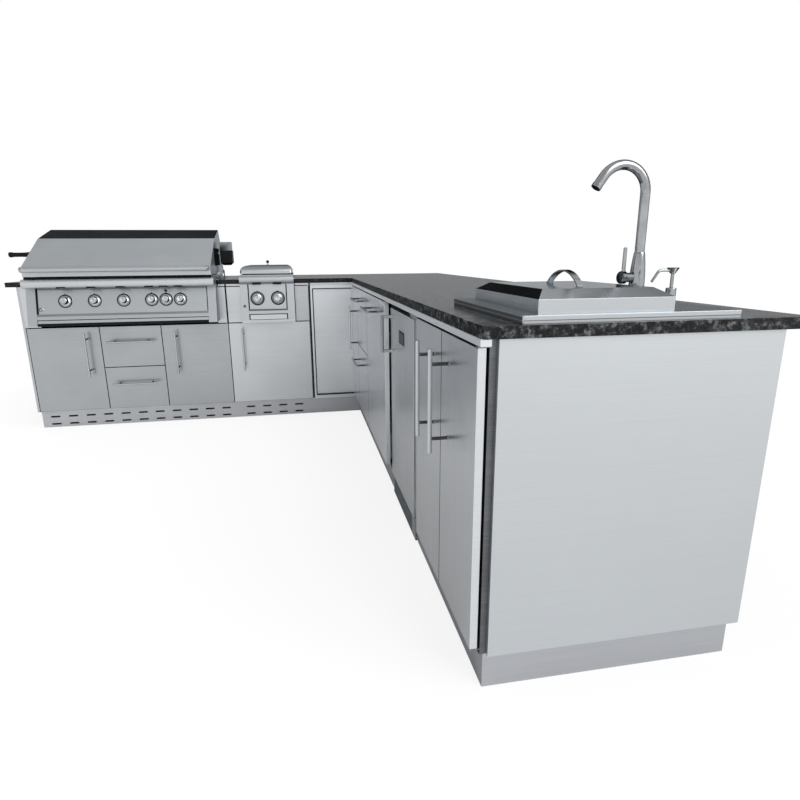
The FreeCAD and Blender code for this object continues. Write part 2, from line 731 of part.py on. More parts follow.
def carcass_corner():
    """The blind corner cabinet that joins the two runs."""
    foot = TOE_H + PANEL
    inner = BACK_B - PANEL
    back = BACK_A - PANEL
    left = X_CORNER + PANEL
    rail_z = CARCASS_TOP - PANEL
    return [
        box(left, inner, FACE_A, back, TOE_H, foot),
        box(FACE_B, inner, Y_CORNER + PANEL, FACE_A, TOE_H, foot),
        box(X_CORNER, left, FACE_A, BACK_A, TOE_H, CARCASS_TOP),
        box(left, inner, back, BACK_A, TOE_H, CARCASS_TOP),
        box(inner, BACK_B, Y_CORNER, BACK_A, TOE_H, CARCASS_TOP),
        box(FACE_B, inner, Y_CORNER, Y_CORNER + PANEL, TOE_H, CARCASS_TOP),
        box(FACE_B, FACE_B + PANEL, FRONT_A - CORNER_POST, FACE_A, foot, CARCASS_TOP),
        box(left, inner, back - BACK_RAIL_W, back, rail_z, CARCASS_TOP),
        box(inner - BACK_RAIL_W, inner, Y_CORNER + PANEL, back - BACK_RAIL_W, rail_z, CARCASS_TOP),
    ]


def carcass_drawers():
    """The cabinets behind the two wide drawers and the tall pull-out."""
    solids = carcass("B", Y_DRAWERS, Y_CORNER, CARCASS_DEPTH_B, far_wall=False)
    return solids + carcass("B", Y_PULLOUT, Y_DRAWERS, CARCASS_DEPTH_B, far_wall=False)


def carcass_fridge_bay():
    """Back and rails of the bay that the fridge stands in."""
    back = FACE_SET + CARCASS_DEPTH_B
    rail_z = CARCASS_TOP - PANEL
    front = FILLER_SET + PANEL
    return [
        slab("B", Y_FRIDGE, Y_PULLOUT, back - PANEL, back, TOE_H, CARCASS_TOP),
        slab("B", Y_FRIDGE, Y_PULLOUT, back - PANEL - BACK_RAIL_W, back - PANEL, rail_z, CARCASS_TOP),
        slab("B", Y_FRIDGE, Y_PULLOUT, front, front + BACK_RAIL_W, rail_z, CARCASS_TOP),
    ]


def carcass_sink():
    """The sink cabinet at the near end."""
    return carcass("B", Y_SINK, Y_FRIDGE, CARCASS_DEPTH_B)


def end_panels():
    """The finished panels at the near end and at the grill's end, hollow behind their skin."""
    near = eased(box(TOE_RECESS_B, BACK_B, 0.0, END_PANEL_T, TOE_H, CARCASS_TOP), FRONT_EDGE_R)
    near = near.cut(box(TOE_RECESS_B + SKIN, BACK_B - SKIN, SKIN, END_PANEL_T + 1,
                        TOE_H + SKIN, CARCASS_TOP - SKIN))
    start = FRONT_A + RAIL_SET
    left = eased(box(X_LEFT, X_GRILL, start, BACK_A, TOE_H, CARCASS_TOP), FRONT_EDGE_R)
    left = left.cut(box(X_LEFT + SKIN, X_GRILL + 1, start + SKIN, BACK_A - SKIN,
                        TOE_H + SKIN, CARCASS_TOP - SKIN))
    return [near, left]


def corner_panel():
    """The fixed framed panel beside the side burner: a frame round a set-back plate."""
    u0 = X_CORNER + HALF_GAP
    z0 = TOE_H + FRAME_FOOT
    z1 = RAIL_Z - FRAME_SIDE
    frame = slab("A", u0, FACE_B, 0.0, FACE_SET, TOE_H, RAIL_Z)
    hole = slab("A", u0 + FRAME_SIDE, FACE_B + 1, -1, FACE_SET + 1, z0, z1)
    plate = slab("A", u0 + FRAME_SIDE, FACE_B, FRAME_SET, FACE_SET, z0, z1)
    return [frame.cut(hole), plate]


def vent_slots(u0, u1, count):
    """Two rows of rounded slots through the plinth board below run A."""
    pitch = (u1 - u0) / count
    wall = TOE_RECESS_A - 1
    slots = []
    for row_z in (VENT_LOW_Z, VENT_HIGH_Z):
        for i in range(count):
            middle = u0 + pitch * (i + 0.5)
            cut = slab("A", middle - VENT_L / 2, middle + VENT_L / 2, wall, wall + TOE_T + 2,
                       row_z - VENT_H / 2, row_z + VENT_H / 2)
            slots.append(eased(cut, VENT_END_R, V(0, 1, 0)))
    return slots


def toe_kicks():
    """Plinth boards round both runs; the board below run A is vented."""
    toe_a = FRONT_A + TOE_RECESS_A
    inner_b = TOE_RECESS_B + TOE_T
    vented = box(X_LEFT, TOE_RECESS_B, toe_a, toe_a + TOE_T, 0.0, TOE_H)
    slots = vent_slots(X_GRILL + VENT_MARGIN_GRILL, X_BURNER - VENT_MARGIN_GRILL, VENTS_GRILL)
    slots += vent_slots(X_BURNER + VENT_MARGIN_BURNER, X_CORNER - VENT_MARGIN_BURNER, VENTS_BURNER)
    return [
        vented.cut(slots),
        box(X_LEFT, X_LEFT + TOE_T, toe_a + TOE_T, BACK_A, 0.0, TOE_H),
        box(X_LEFT + TOE_T, BACK_B, BACK_A - TOE_T, BACK_A, 0.0, TOE_H),
        box(TOE_RECESS_B, inner_b, Y_PULLOUT, toe_a + TOE_T, 0.0, TOE_H),
        box(TOE_RECESS_B, inner_b, TOE_RECESS_END, FRIDGE_Y - HALF_GAP, 0.0, TOE_H),
        box(inner_b, BACK_B - TOE_T, TOE_RECESS_END, TOE_RECESS_END + TOE_T, 0.0, TOE_H),
        box(BACK_B - TOE_T, BACK_B, TOE_RECESS_END, BACK_A - TOE_T, 0.0, TOE_H),
    ]


def face_frame():
    """The steel that shows round the fronts: rail below the stone, fixed plates and fillers."""
    grill0 = GRILL_X - GRILL_W / 2 - FRONT_GAP
    grill1 = GRILL_X + GRILL_W / 2 + FRONT_GAP
    side0 = SIDE_X - SIDE_W / 2 - SIDE_NOTCH_PLAY
    side1 = SIDE_X + SIDE_W / 2 + SIDE_NOTCH_PLAY
    solids = [
        slab("B", 0.0, Y_FRIDGE, RAIL_SET, FACE_SET, RAIL_Z, CARCASS_TOP),
        slab("B", Y_FRIDGE, FRONT_A + RAIL_SET, RAIL_SET, FACE_SET, RAIL_Z, CARCASS_TOP),
        slab("A", side1, FACE_B, RAIL_SET, FACE_SET, RAIL_Z, CARCASS_TOP),
        slab("A", grill1, side0, RAIL_SET, FACE_SET, RAIL_Z, CARCASS_TOP),
        slab("A", X_GRILL, grill0, RAIL_SET, FACE_SET, RAIL_Z, CARCASS_TOP),
        box(FRONT_B, FACE_B, FRONT_A - CORNER_FILLER, FRONT_A, FRONT_BOTTOM_B, RAIL_Z),
        slab("B", Y_FRIDGE, FRIDGE_Y - HALF_GAP, FILLER_SET, FILLER_SET + PANEL, TOE_H, RAIL_Z),
    ]
    notch0 = GRILL_X - FIREBOX_W / 2 - NOTCH_PLAY
    notch1 = GRILL_X + FIREBOX_W / 2 + NOTCH_PLAY
    spans = (
        (X_GRILL, notch0),
        (notch1, X_BURNER - HALF_GAP),
        (X_BURNER + HALF_GAP, side0),
        (side1, X_CORNER - HALF_GAP),
    )
    for u0, u1 in spans:
        solids.append(slab("A", u0, u1, 0.0, FACE_SET, FIXED_PLATE_BOTTOM, RAIL_Z))
    return solids


def levelling_feet():
    """Threaded feet: a pad on the floor and a stem up to the cabinet's bottom."""
    back_b = BACK_B - FOOT_INSET
    front_a = FRONT_A + TOE_RECESS_A + FOOT_INSET
    back_a = BACK_A - FOOT_INSET
    rows = (FOOT_INSET, Y_FRIDGE - FOOT_INSET, Y_PULLOUT + FOOT_INSET, Y_DRAWERS, Y_CORNER)
    columns = (X_LEFT + FOOT_INSET, GRILL_X, X_BURNER, X_CORNER)
    spots = [(x, y) for y in rows for x in (FOOT_INSET, back_b)]
    spots += [(x, y) for x in columns for y in (front_a, back_a)]
    spots.append((back_b, back_a))
    feet = []
    for x, y in spots:
        pad = Part.makeCylinder(FOOT_R, FOOT_H, V(x, y, 0))
        stem = Part.makeCylinder(FOOT_STEM_R, TOE_H - FOOT_H, V(x, y, FOOT_H))
        feet.append(pad.fuse(stem))
    return feet


def sink_hole(z0, z1, play):
    """The rounded block that the sink bowl needs, grown by a play."""
    x0 = SINK_X + SINK_BOWL_X
    y0 = SINK_Y + (SINK_L - SINK_BOWL_L) / 2
    hole = box(x0 - play, x0 + SINK_BOWL_W + play, y0 - play, y0 + SINK_BOWL_L + play, z0, z1)
    return eased(hole, SINK_CORNER_R + play, V(0, 0, 1))


def countertop_run_b():
    """The stone over the long run, cut for the sink bowl and the two tails."""
    x0 = FRONT_B + COUNTER_FRONT_SET
    stone = box(x0, BACK_B + BACK_OVERHANG, -NEAR_OVERHANG, FRONT_A - RAIL_SET, CARCASS_TOP, COUNTER_TOP)
    stone = stone.cut(sink_hole(CARCASS_TOP - 1, COUNTER_TOP + 1, SINK_CUT_PLAY))
    for x, y in ((FAUCET_X, FAUCET_Y), (SOAP_X, SOAP_Y)):
        stone = stone.cut(Part.makeCylinder(TAIL_HOLE_R, COUNTER_T + 2, V(x, y, CARCASS_TOP - 1)))
    return stone


def countertop_run_a():
    """The stone over the back run, open at the front for the grill and the side burner."""
    x0 = X_LEFT - BACK_OVERHANG
    y0 = FRONT_A - RAIL_SET
    stone = box(x0, BACK_B + BACK_OVERHANG, y0, BACK_A + BACK_OVERHANG, CARCASS_TOP, COUNTER_TOP)
    half = FIREBOX_W / 2 + NOTCH_PLAY
    notch = box(GRILL_X - half, GRILL_X + half, y0 - 1, FRONT_A + NOTCH_BACK,
                CARCASS_TOP - 1, COUNTER_TOP + 1)
    half = SIDE_W / 2 + SIDE_NOTCH_PLAY
    back = FRONT_A + SIDE_BODY_FRONT + SIDE_BODY_DEPTH + SIDE_NOTCH_PLAY
    side = box(SIDE_X - half, SIDE_X + half, y0 - 1, back, CARCASS_TOP - 1, COUNTER_TOP + 1)
    return stone.cut([notch, side])


def hinged_fronts():
    """Every hinged cabinet front: its run, edges, heights, hinge side and handle place."""
    left_end = X_GRILL + FRONT_GAP
    right_start = DIVIDER_RIGHT + HALF_GAP
    low_a = FRONT_BOTTOM_A
    low_b = FRONT_BOTTOM_B
    corner_end = FRONT_A - CORNER_FILLER - CORNER_DOOR_GAP
    return {
        "door_grill_left": ("A", left_end, DIVIDER_LEFT - HALF_GAP, low_a, FRONT_TOP_A, True,
                            DIVIDER_LEFT - HALF_GAP - DOOR_HANDLE_INSET, GRILL_HANDLE_Z),
        "door_grill_right": ("A", right_start, X_BURNER - HALF_GAP, low_a, FRONT_TOP_A, False,
                             right_start + RIGHT_DOOR_HANDLE_INSET, GRILL_HANDLE_Z),
        "door_burner": ("A", X_BURNER + HALF_GAP, X_CORNER - HALF_GAP, low_a, FRONT_TOP_A, False,
                        X_BURNER + HALF_GAP + RIGHT_DOOR_HANDLE_INSET, BURNER_HANDLE_Z),
        "door_corner": ("B", Y_CORNER + HALF_GAP, corner_end, low_b, FRONT_TOP_B, False,
                        Y_CORNER + HALF_GAP + CORNER_HANDLE_INSET, CORNER_HANDLE_Z),
        "door_sink_far": ("B", SINK_DOOR_SPLIT + HALF_GAP, Y_FRIDGE - HALF_GAP, low_b, FRONT_TOP_B, False,
                          SINK_DOOR_SPLIT + HALF_GAP + SINK_HANDLE_INSET, SINK_HANDLE_Z),
        "door_sink_near": ("B", Y_SINK, SINK_DOOR_SPLIT - HALF_GAP, low_b, FRONT_TOP_B, True,
                           SINK_DOOR_SPLIT - HALF_GAP - SINK_HANDLE_INSET, SINK_HANDLE_Z),
    }


def drawer_fronts():
    """Every drawer: its run, edges, heights, the clear width between boards and handle height."""
    u0 = DIVIDER_LEFT + HALF_GAP
    u1 = DIVIDER_RIGHT - HALF_GAP
    in0 = DIVIDER_LEFT + PANEL / 2
    in1 = DIVIDER_RIGHT - PANEL / 2
    v0 = Y_DRAWERS + HALF_GAP
    v1 = Y_CORNER - HALF_GAP
    jn0 = Y_DRAWERS + PANEL
    return {
        "drawer_grill_upper": ("A", u0, u1, DRAWER_SPLIT_A + HALF_GAP, FRONT_TOP_A, in0, in1,
                               FRONT_TOP_A - UPPER_HANDLE_DROP_A),
        "drawer_grill_lower": ("A", u0, u1, FRONT_BOTTOM_A, DRAWER_SPLIT_A - HALF_GAP, in0, in1,
                               DRAWER_SPLIT_A - LOWER_HANDLE_DROP_A),
        "drawer_b_upper": ("B", v0, v1, DRAWER_SPLIT_B + HALF_GAP, FRONT_TOP_B, jn0, Y_CORNER,
                           FRONT_TOP_B - DRAWER_HANDLE_DROP),
        "drawer_b_lower": ("B", v0, v1, FRONT_BOTTOM_B, DRAWER_SPLIT_B - HALF_GAP, jn0, Y_CORNER,
                           DRAWER_SPLIT_B - DRAWER_HANDLE_DROP_LOW),
    }


def pullout_bays():
    """The clear width between the boards at both sides of the pull-out."""
    return Y_PULLOUT + PANEL, Y_DRAWERS


def pullout():
    """The tall pull-out: folded front, handle, a low frame and two bins standing in it."""
    u0 = Y_PULLOUT + FRONT_GAP
    u1 = Y_DRAWERS - HALF_GAP
    clear0, clear1 = pullout_bays()
    side0 = clear0 + SLIDE_T + SLIDE_PLAY
    side1 = clear1 - SLIDE_T - SLIDE_PLAY
    floor = FRONT_BOTTOM_B + DRAWER_FLOOR_RISE
    solids = pan_front("B", u0, u1, FRONT_BOTTOM_B, FRONT_TOP_B)
    solids += pull_handle("B", (u0 + u1) / 2, FRONT_TOP_B - PULLOUT_HANDLE_DROP, False)
    solids += open_box("B", side0, side1, FRONT_T, FRONT_T + DRAWER_DEPTH,
                       floor, floor + PULLOUT_SIDE_H, SHEET)
    low = floor + SHEET
    middle = (side0 + side1) / 2
    start = FRONT_T + SHEET + BIN_PLAY
    wall = SHEET + BIN_PLAY
    for a, b in ((side0 + wall, middle - BIN_PLAY), (middle + BIN_PLAY, side1 - wall)):
        solids += open_box("B", a, b, start, start + BIN_DEPTH, low, low + BIN_H, SHEET)
    return solids


def cabinet_hardware():
    """The fixed pivot plates of all doors and the slide rails of all drawers."""
    solids = []
    for run, u0, u1, z0, z1, first, handle_u, handle_z in hinged_fronts().values():
        solids += pivot_plates(run, u0, u1, z0, z1, first)
    for run, u0, u1, z0, z1, clear0, clear1, handle_z in drawer_fronts().values():
        solids += runners(run, z0, clear0, clear1)
    clear0, clear1 = pullout_bays()
    return solids + runners("B", FRONT_BOTTOM_B, clear0, clear1)


def fascia_point(z, out, proud=FASCIA_PROUD, top=FASCIA_TOP, slope=FASCIA_SLOPE):
    """A y and z on a sloping fascia's outer face, moved out along its normal."""
    lean = math.atan(slope)
    y = FRONT_A - proud - (top - z) * slope
    return y - out * math.cos(lean), z + out * math.sin(lean)


def side_point(z, out):
    """The same for the side burner's steeper fascia."""
    return fascia_point(z, out, SIDE_PROUD, SIDE_FASCIA_TOP, SIDE_SLOPE)


def level_point(point, z, out):
    """The point of a fascia's face, moved out along its normal, that lies at a height."""
    y, raised = point(z, out)
    step = point(raised, 0.0)[0] - point(z, 0.0)[0]
    return y - step, z


def leaning_plate(point, x0, x1, z0, z1, out0, out1):
    """A plate that lies along a fascia, cut level at two heights."""
    corners = [
        level_point(point, z0, out0),
        level_point(point, z1, out0),
        level_point(point, z1, out1),
        level_point(point, z0, out1),
    ]
    return prism_x(corners, x0, x1)


def leaning_rod(point, x, z, out0, out1, radius):
    """A round bar square to a fascia."""
    y0, a0 = point(z, out0)
    y1, a1 = point(z, out1)
    return rod(V(x, y0, a0), V(x, y1, a1), radius)


def grill_firebox():
    """The firebox: walls, floor, flange on the stone, ledges, hinge ears and tray rails."""
    half = FIREBOX_W / 2
    x0 = GRILL_X - half
    x1 = GRILL_X + half
    wall = FIREBOX_WALL
    front = FIREBOX_FRONT
    back = FIREBOX_BACK
    floor = FIREBOX_BOTTOM + wall
    flange = COUNTER_TOP + FLANGE_T
    ledge = GRATE_TOP - GRATE_H
    solids = [
        slab("A", x0, x1, front, back, FIREBOX_BOTTOM, floor),
        slab("A", x0, x1, front, front + wall, floor, FIREBOX_RIM),
        slab("A", x0, x1, back - wall, back, floor, FIREBOX_BACK_RIM),
        slab("A", x0, x0 + wall, front + wall, back - wall, floor, FIREBOX_RIM),
        slab("A", x1 - wall, x1, front + wall, back - wall, floor, FIREBOX_RIM),
        slab("A", x0 - FLANGE_LAP, x0, 0.0, back + FLANGE_LAP, COUNTER_TOP, flange),
        slab("A", x1, x1 + FLANGE_LAP, 0.0, back + FLANGE_LAP, COUNTER_TOP, flange),
        slab("A", x0, x1, back, back + FLANGE_LAP, COUNTER_TOP, flange),
    ]
    for w0, w1 in ((front + wall, front + wall + GRATE_LEDGE_W), (back - wall - GRATE_LEDGE_W, back - wall)):
        solids.append(slab("A", x0 + wall, x1 - wall, w0, w1, ledge - GRATE_LEDGE_T, ledge))
    return solids + lid_ears(flange) + tray_rails() + [spit_rest(flange)]


def lid_ears(flange):
    """Two ears outside the lid's end walls, each with the pin that the lid turns on."""
    y = FRONT_A + LID_HINGE_BACK
    solids = []
    for side in (-1, 1):
        near = GRILL_X + side * (LID_W / 2 + LID_EAR_PLAY)
        far = near + side * LID_EAR_T
        tip = GRILL_X + side * (LID_W / 2 - LID_WALL - LID_PIN_REACH)
        plate = box(near, far, y - LID_EAR_R, y + LID_EAR_R, flange, LID_HINGE_Z)
        head = rod(V(near, y, LID_HINGE_Z), V(far, y, LID_HINGE_Z), LID_EAR_R)
        pin = rod(V(tip, y, LID_HINGE_Z), V(far, y, LID_HINGE_Z), LID_PIN_R)
        solids.append(plate.fuse([head, pin]))
    return solids


def tray_rails():
    """Two angle rails below the firebox floor that carry the drip tray."""
    half = TRAY_PAN_W / 2 + SLIDE_PLAY
    foot = TRAY_PAN_BOTTOM - SLIDE_PLAY
    w1 = FIREBOX_FRONT + TRAY_RAIL_L
    solids = []
    for side in (-1, 1):
        wall0 = GRILL_X + side * half
        wall1 = wall0 + side * SHEET
        lip = wall0 - side * TRAY_RAIL_W
        upright = slab("A", wall0, wall1, FIREBOX_FRONT, w1, foot - SHEET, FIREBOX_BOTTOM)
        shelf = slab("A", lip, wall0, FIREBOX_FRONT, w1, foot - SHEET, foot)
        solids += [upright, shelf]
    return solids


def spit_rest(flange):
    """The upright plate with an open notch that the spit lies in, left of the lid."""
    x0 = GRILL_X - SPIT_REST_X
    x1 = x0 + SPIT_REST_T
    y = FRONT_A + SPIT_BACK
    top = SPIT_Z + SPIT_REST_RISE
    bore = SPIT_R + RUNNING_FIT
    plate = box(x0, x1, y - SPIT_REST_W / 2, y + SPIT_REST_W / 2, flange, top)
    notch = box(x0 - 1, x1 + 1, y - bore, y + bore, SPIT_Z, top + 1)
    return plate.cut([notch, rod(V(x0 - 1, y, SPIT_Z), V(x1 + 1, y, SPIT_Z), bore)])


def grill_fascia():
    """The sloping front of the grill with its end pillars, cheeks and trim strip."""
    half = GRILL_W / 2
    x0 = GRILL_X - half
    x1 = GRILL_X + half
    sheet = leaning_plate(fascia_point, x0 + PILLAR_T, x1 - PILLAR_T, PANEL_FOOT, FASCIA_TOP, 0.0, -FASCIA_T)
    for offset in KNOB_OFFSETS:
        hole = leaning_rod(fascia_point, GRILL_X + offset, KNOB_Z, 1.0, -FASCIA_T - 1, STEM_R + 1)
        sheet = sheet.cut(hole)
    bore = IGNITER_R + RUNNING_FIT
    place_x = GRILL_X + IGNITER_OFFSET
    sheet = sheet.cut(leaning_rod(fascia_point, place_x, IGNITER_Z, 1.0, -FASCIA_T - 1, bore))
    inner0 = x0 + PILLAR_W
    inner1 = x1 - PILLAR_W
    solids = [
        sheet,
        leaning_plate(fascia_point, x0, inner0, FASCIA_BOTTOM, FASCIA_TOP, PILLAR_T, 0.0),
        leaning_plate(fascia_point, inner1, x1, FASCIA_BOTTOM, FASCIA_TOP, PILLAR_T, 0.0),
        leaning_plate(fascia_point, inner0, inner1, TRIM_Z - TRIM_H / 2, TRIM_Z + TRIM_H / 2, TRIM_T, 0.0),
    ]
    low = fascia_point(FASCIA_BOTTOM, 0.0)
    high = fascia_point(FASCIA_TOP, 0.0)
    wall = FRONT_A - FASCIA_CHEEK_PLAY
    for a in (x0, x1 - PILLAR_T):
        solids.append(prism_x([low, high, (wall, high[1]), (wall, low[1])], a, a + PILLAR_T))
    return solids


def rounded_shelf(x0, x1, y0, y1, z0, z1, radius, wall):
    """A hollow shelf with its two long front edges rounded, open at the back."""
    block = box(x0, x1, y0, y1, z0, z1)
    edges = []
    for edge in block.Edges:
        points = [v.Point for v in edge.Vertexes]
        if all(abs(point.y - y0) < wall / 10 for point in points) and abs(points[0].x - points[1].x) > wall:
            edges.append(edge)
    block = block.makeFillet(radius, edges)
    inner = box(x0 + wall, x1 - wall, y0 + radius, y1 + 1, z0 + wall, z1 - wall)
    return block.cut(inner)


def grill_bullnose():
    """The rounded shelf in front of the lid, and the two rubber stops that the lid rests over."""
    half = BULLNOSE_W / 2
    front = FRONT_A - BULLNOSE_PROUD
    top = FASCIA_TOP + BULLNOSE_H
    shelf = rounded_shelf(GRILL_X - half, GRILL_X + half, front, FRONT_A + FIREBOX_FRONT, FASCIA_TOP, top,
                          BULLNOSE_R, BULLNOSE_WALL)
    stops = []
    y = FRONT_A - LID_FRONT_PROUD + BUMPER_R / 2
    for side in (-1, 1):
        x = GRILL_X + side * (LID_W / 2 - BUMPER_INSET)
        stops.append(rod(V(x, y, top), V(x, y, LID_BOTTOM - SLIDE_PLAY), BUMPER_R / 2))
    return [shelf] + stops


def lid_outline(grow):
    """The hood's outline in y and z, moved inwards by a wall, open side down."""
    back = FRONT_A
    corners = [
        (back - LID_FRONT_PROUD, LID_BOTTOM),
        (back - LID_FRONT_PROUD, LID_BOTTOM + LID_LIP_H),
        (back + LID_FOLD_BACK, LID_FOLD_Z),
        (back + LID_TOP_BACK, LID_TOP_Z),
        (back + LID_SHOULDER_BACK, LID_SHOULDER_Z),
        (back + LID_FOOT_BACK, LID_BOTTOM),
    ]
    if grow == 0.0:
        return corners
    lines = []
    for (y0, z0), (y1, z1) in zip(corners[:-1], corners[1:]):
        length = math.hypot(y1 - y0, z1 - z0)
        normal = ((z1 - z0) / length, -(y1 - y0) / length)
        lines.append((y0 + normal[0] * grow, z0 + normal[1] * grow, (y1 - y0) / length, (z1 - z0) / length))
    points = []
    for (ay, az, ady, adz), (by, bz, bdy, bdz) in zip(lines[:-1], lines[1:]):
        t = ((by - ay) * bdz - (bz - az) * bdy) / (ady * bdz - adz * bdy)
        points.append((ay + ady * t, az + adz * t))
    low = LID_BOTTOM - 1
    first = lines[0]
    last = lines[-1]
    start = (first[0] + first[2] * (low - first[1]) / first[3], low)
    end = (last[0] + last[2] * (low - last[1]) / last[3], low)
    return [start] + points + [end]


def spit_slot(x0, x1):
    """The arc-shaped slot that lets the lid's end wall swing past the spit."""
    y = FRONT_A + LID_HINGE_BACK
    spit_y = FRONT_A + SPIT_BACK
    reach = math.hypot(y - spit_y, SPIT_Z - LID_HINGE_Z)
    half = SPIT_R + SPIT_SLOT_PLAY
    start = V(x0, y, LID_HINGE_Z)
    end = V(x1, y, LID_HINGE_Z)
    band = ring(start, end, reach + half, reach - half)
    window = box(x0, x1, spit_y - reach / 2, spit_y + half, LID_BOTTOM - LID_EAR_R, SPIT_Z)
    return band.common(window).fuse(rod(V(x0, spit_y, SPIT_Z), V(x1, spit_y, SPIT_Z), half))


def grill_lid():
    """The folded hood and its two end walls, which turn on the ears' pins."""
    half = LID_W / 2
    x0 = GRILL_X - half
    x1 = GRILL_X + half
    y = FRONT_A + LID_HINGE_BACK
    hood = prism_x(lid_outline(0.0), x0 + LID_WALL, x1 - LID_WALL)
    hood = hood.cut(prism_x(lid_outline(LID_WALL), x0, x1))
    solids = [hood]
    bore = LID_PIN_R + RUNNING_FIT
    for a in (x0, x1 - LID_WALL):
        wall = prism_x(lid_outline(0.0), a, a + LID_WALL)
        wall = wall.fuse(rod(V(a, y, LID_HINGE_Z), V(a + LID_WALL, y, LID_HINGE_Z), LID_EAR_R))
        wall = wall.cut([rod(V(a - 1, y, LID_HINGE_Z), V(a + LID_WALL + 1, y, LID_HINGE_Z), bore),
                         spit_slot(a - 1, a + LID_WALL + 1)])
        solids.append(wall)
    return solids


def grill_lid_handle():
    """The round bar across the lid, held by a bracket near each end."""
    y = FRONT_A - LID_HANDLE_PROUD
    face = FRONT_A - LID_FRONT_PROUD
    half = LID_HANDLE_L / 2
    bar = rod(V(GRILL_X - half, y, LID_HANDLE_Z), V(GRILL_X + half, y, LID_HANDLE_Z), LID_HANDLE_R)
    solids = [bar]
    for side in (-1, 1):
        x = GRILL_X + side * (LID_W / 2 - LID_BRACKET_INSET)
        low = LID_HANDLE_Z - LID_BRACKET_H / 2
        high = LID_HANDLE_Z + LID_BRACKET_H / 2
        bracket = box(x - LID_BRACKET_T / 2, x + LID_BRACKET_T / 2, y, face, low, high)
        solids.append(bracket.cut(bar))
    return solids


def burner_set():
    """Five tube burners across the firebox, each below a bent flame tamer."""
    front = FRONT_A + FIREBOX_FRONT + FIREBOX_WALL
    back = FRONT_A + FIREBOX_BACK - FIREBOX_WALL
    solids = []
    for i in range(BURNER_COUNT):
        x = GRILL_X + (i - (BURNER_COUNT - 1) / 2) * BURNER_PITCH
        solids.append(rod(V(x, front, BURNER_Z), V(x, front + BURNER_L, BURNER_Z), BURNER_R))
        half = TAMER_W / 2
        foot = TAMER_Z - TAMER_DROP
        outline = [
            V(x - half, front, foot),
            V(x, front, TAMER_Z),
            V(x + half, front, foot),
            V(x + half - SHEET, front, foot),
            V(x, front, TAMER_Z - SHEET),
            V(x - half + SHEET, front, foot),
        ]
        sheet = Part.Face(Part.makePolygon(outline + outline[:1]))
        solids.append(sheet.extrude(V(0, back - front, 0)))
    return solids


def cooking_grates():
    """Four cast grates side by side on the firebox ledges."""
    front = FRONT_A + FIREBOX_FRONT + FIREBOX_WALL + GRATE_PLAY
    back = FRONT_A + FIREBOX_BACK - FIREBOX_WALL - GRATE_PLAY
    inner = FIREBOX_W - FIREBOX_WALL * 2
    width = inner / GRATE_COUNT - GRATE_PLAY * 2
    low = GRATE_TOP - GRATE_H
    solids = []
    for i in range(GRATE_COUNT):
        x0 = GRILL_X - inner / 2 + inner / GRATE_COUNT * i + GRATE_PLAY
        bars = []
        for j in range(GRATE_BARS):
            a = x0 + (width - GRATE_BAR_W) * j / (GRATE_BARS - 1)
            bars.append(box(a, a + GRATE_BAR_W, front, back, low, GRATE_TOP))
        for y in (front, back - GRATE_BAR_W):
            bars.append(box(x0, x0 + width, y, y + GRATE_BAR_W, low, GRATE_TOP))
        solids.append(bars[0].fuse(bars[1:]).removeSplitter())
    return solids


def valve(point, x, z, pipe):
    """A gas valve with its stem through the fascia and its inlet down to the pipe."""
    start = -FASCIA_T - VALVE_SET
    body = leaning_rod(point, x, z, start, start - VALVE_L, VALVE_R)
    stem = leaning_rod(point, x, z, STEM_OUT, start, STEM_R)
    y, a = point(z, start - VALVE_L / 2)
    inlet = rod(V(x, y, a), V(x, y, a - MANIFOLD_DROP), VALVE_R / 2)
    return body.fuse([stem, inlet]).cut(pipe)


def gas_manifold():
    """The gas pipes behind both fascias with a valve below each burner knob."""
    solids = []
    groups = (
        (fascia_point, KNOB_Z, GRILL_X, KNOB_OFFSETS),
        (side_point, SIDE_KNOB_Z, SIDE_X, SIDE_KNOB_OFFSETS),
    )
    for point, z, middle, offsets in groups:
        y, a = point(z, -FASCIA_T - VALVE_SET - VALVE_L / 2)
        reach = max(offsets) + VALVE_R * 2
        start = V(middle + min(offsets) - VALVE_R * 2, y, a - MANIFOLD_DROP)
        pipe = rod(start, V(middle + reach, y, a - MANIFOLD_DROP), MANIFOLD_R)
        solids.append(pipe)
        for offset in offsets:
            solids.append(valve(point, middle + offset, z, pipe))
    return solids


def knob(point, x, z):
    """A control knob: a skirt, a grip and the bore that fits over the stem."""
    skirt = leaning_rod(point, x, z, KNOB_PLAY, KNOB_FLANGE_T, KNOB_FLANGE_R)
    grip = leaning_rod(point, x, z, KNOB_FLANGE_T, KNOB_H, KNOB_R)
    bore = leaning_rod(point, x, z, 0.0, STEM_OUT + BORE_END_PLAY, STEM_R + RUNNING_FIT)
    return skirt.fuse(grip).cut(bore)


def control_bezels():
    """The ring round each knob and the sleeve and cup that the igniter button slides in."""
    solids = []
    bore = KNOB_FLANGE_R + BEZEL_BORE_PLAY
    groups = (
        (fascia_point, KNOB_Z, GRILL_X, KNOB_OFFSETS),
        (side_point, SIDE_KNOB_Z, SIDE_X, SIDE_KNOB_OFFSETS),
    )
    for point, z, middle, offsets in groups:
        for offset in offsets:
            outer = leaning_rod(point, middle + offset, z, 0.0, BEZEL_T, BEZEL_R)
            solids.append(outer.cut(leaning_rod(point, middle + offset, z, -1.0, BEZEL_T + 1, bore)))
    x = GRILL_X + IGNITER_OFFSET
    sleeve = leaning_rod(fascia_point, x, IGNITER_Z, 0.0, BEZEL_T / 2, IGNITER_SLEEVE_R)
    cup = leaning_rod(fascia_point, x, IGNITER_Z, -FASCIA_T, -IGNITER_CUP, IGNITER_SLEEVE_R)
    hole = leaning_rod(fascia_point, x, IGNITER_Z, BEZEL_T, SHEET - IGNITER_CUP, IGNITER_R + RUNNING_FIT)
    return solids + [sleeve.cut(hole), cup.cut(hole)]


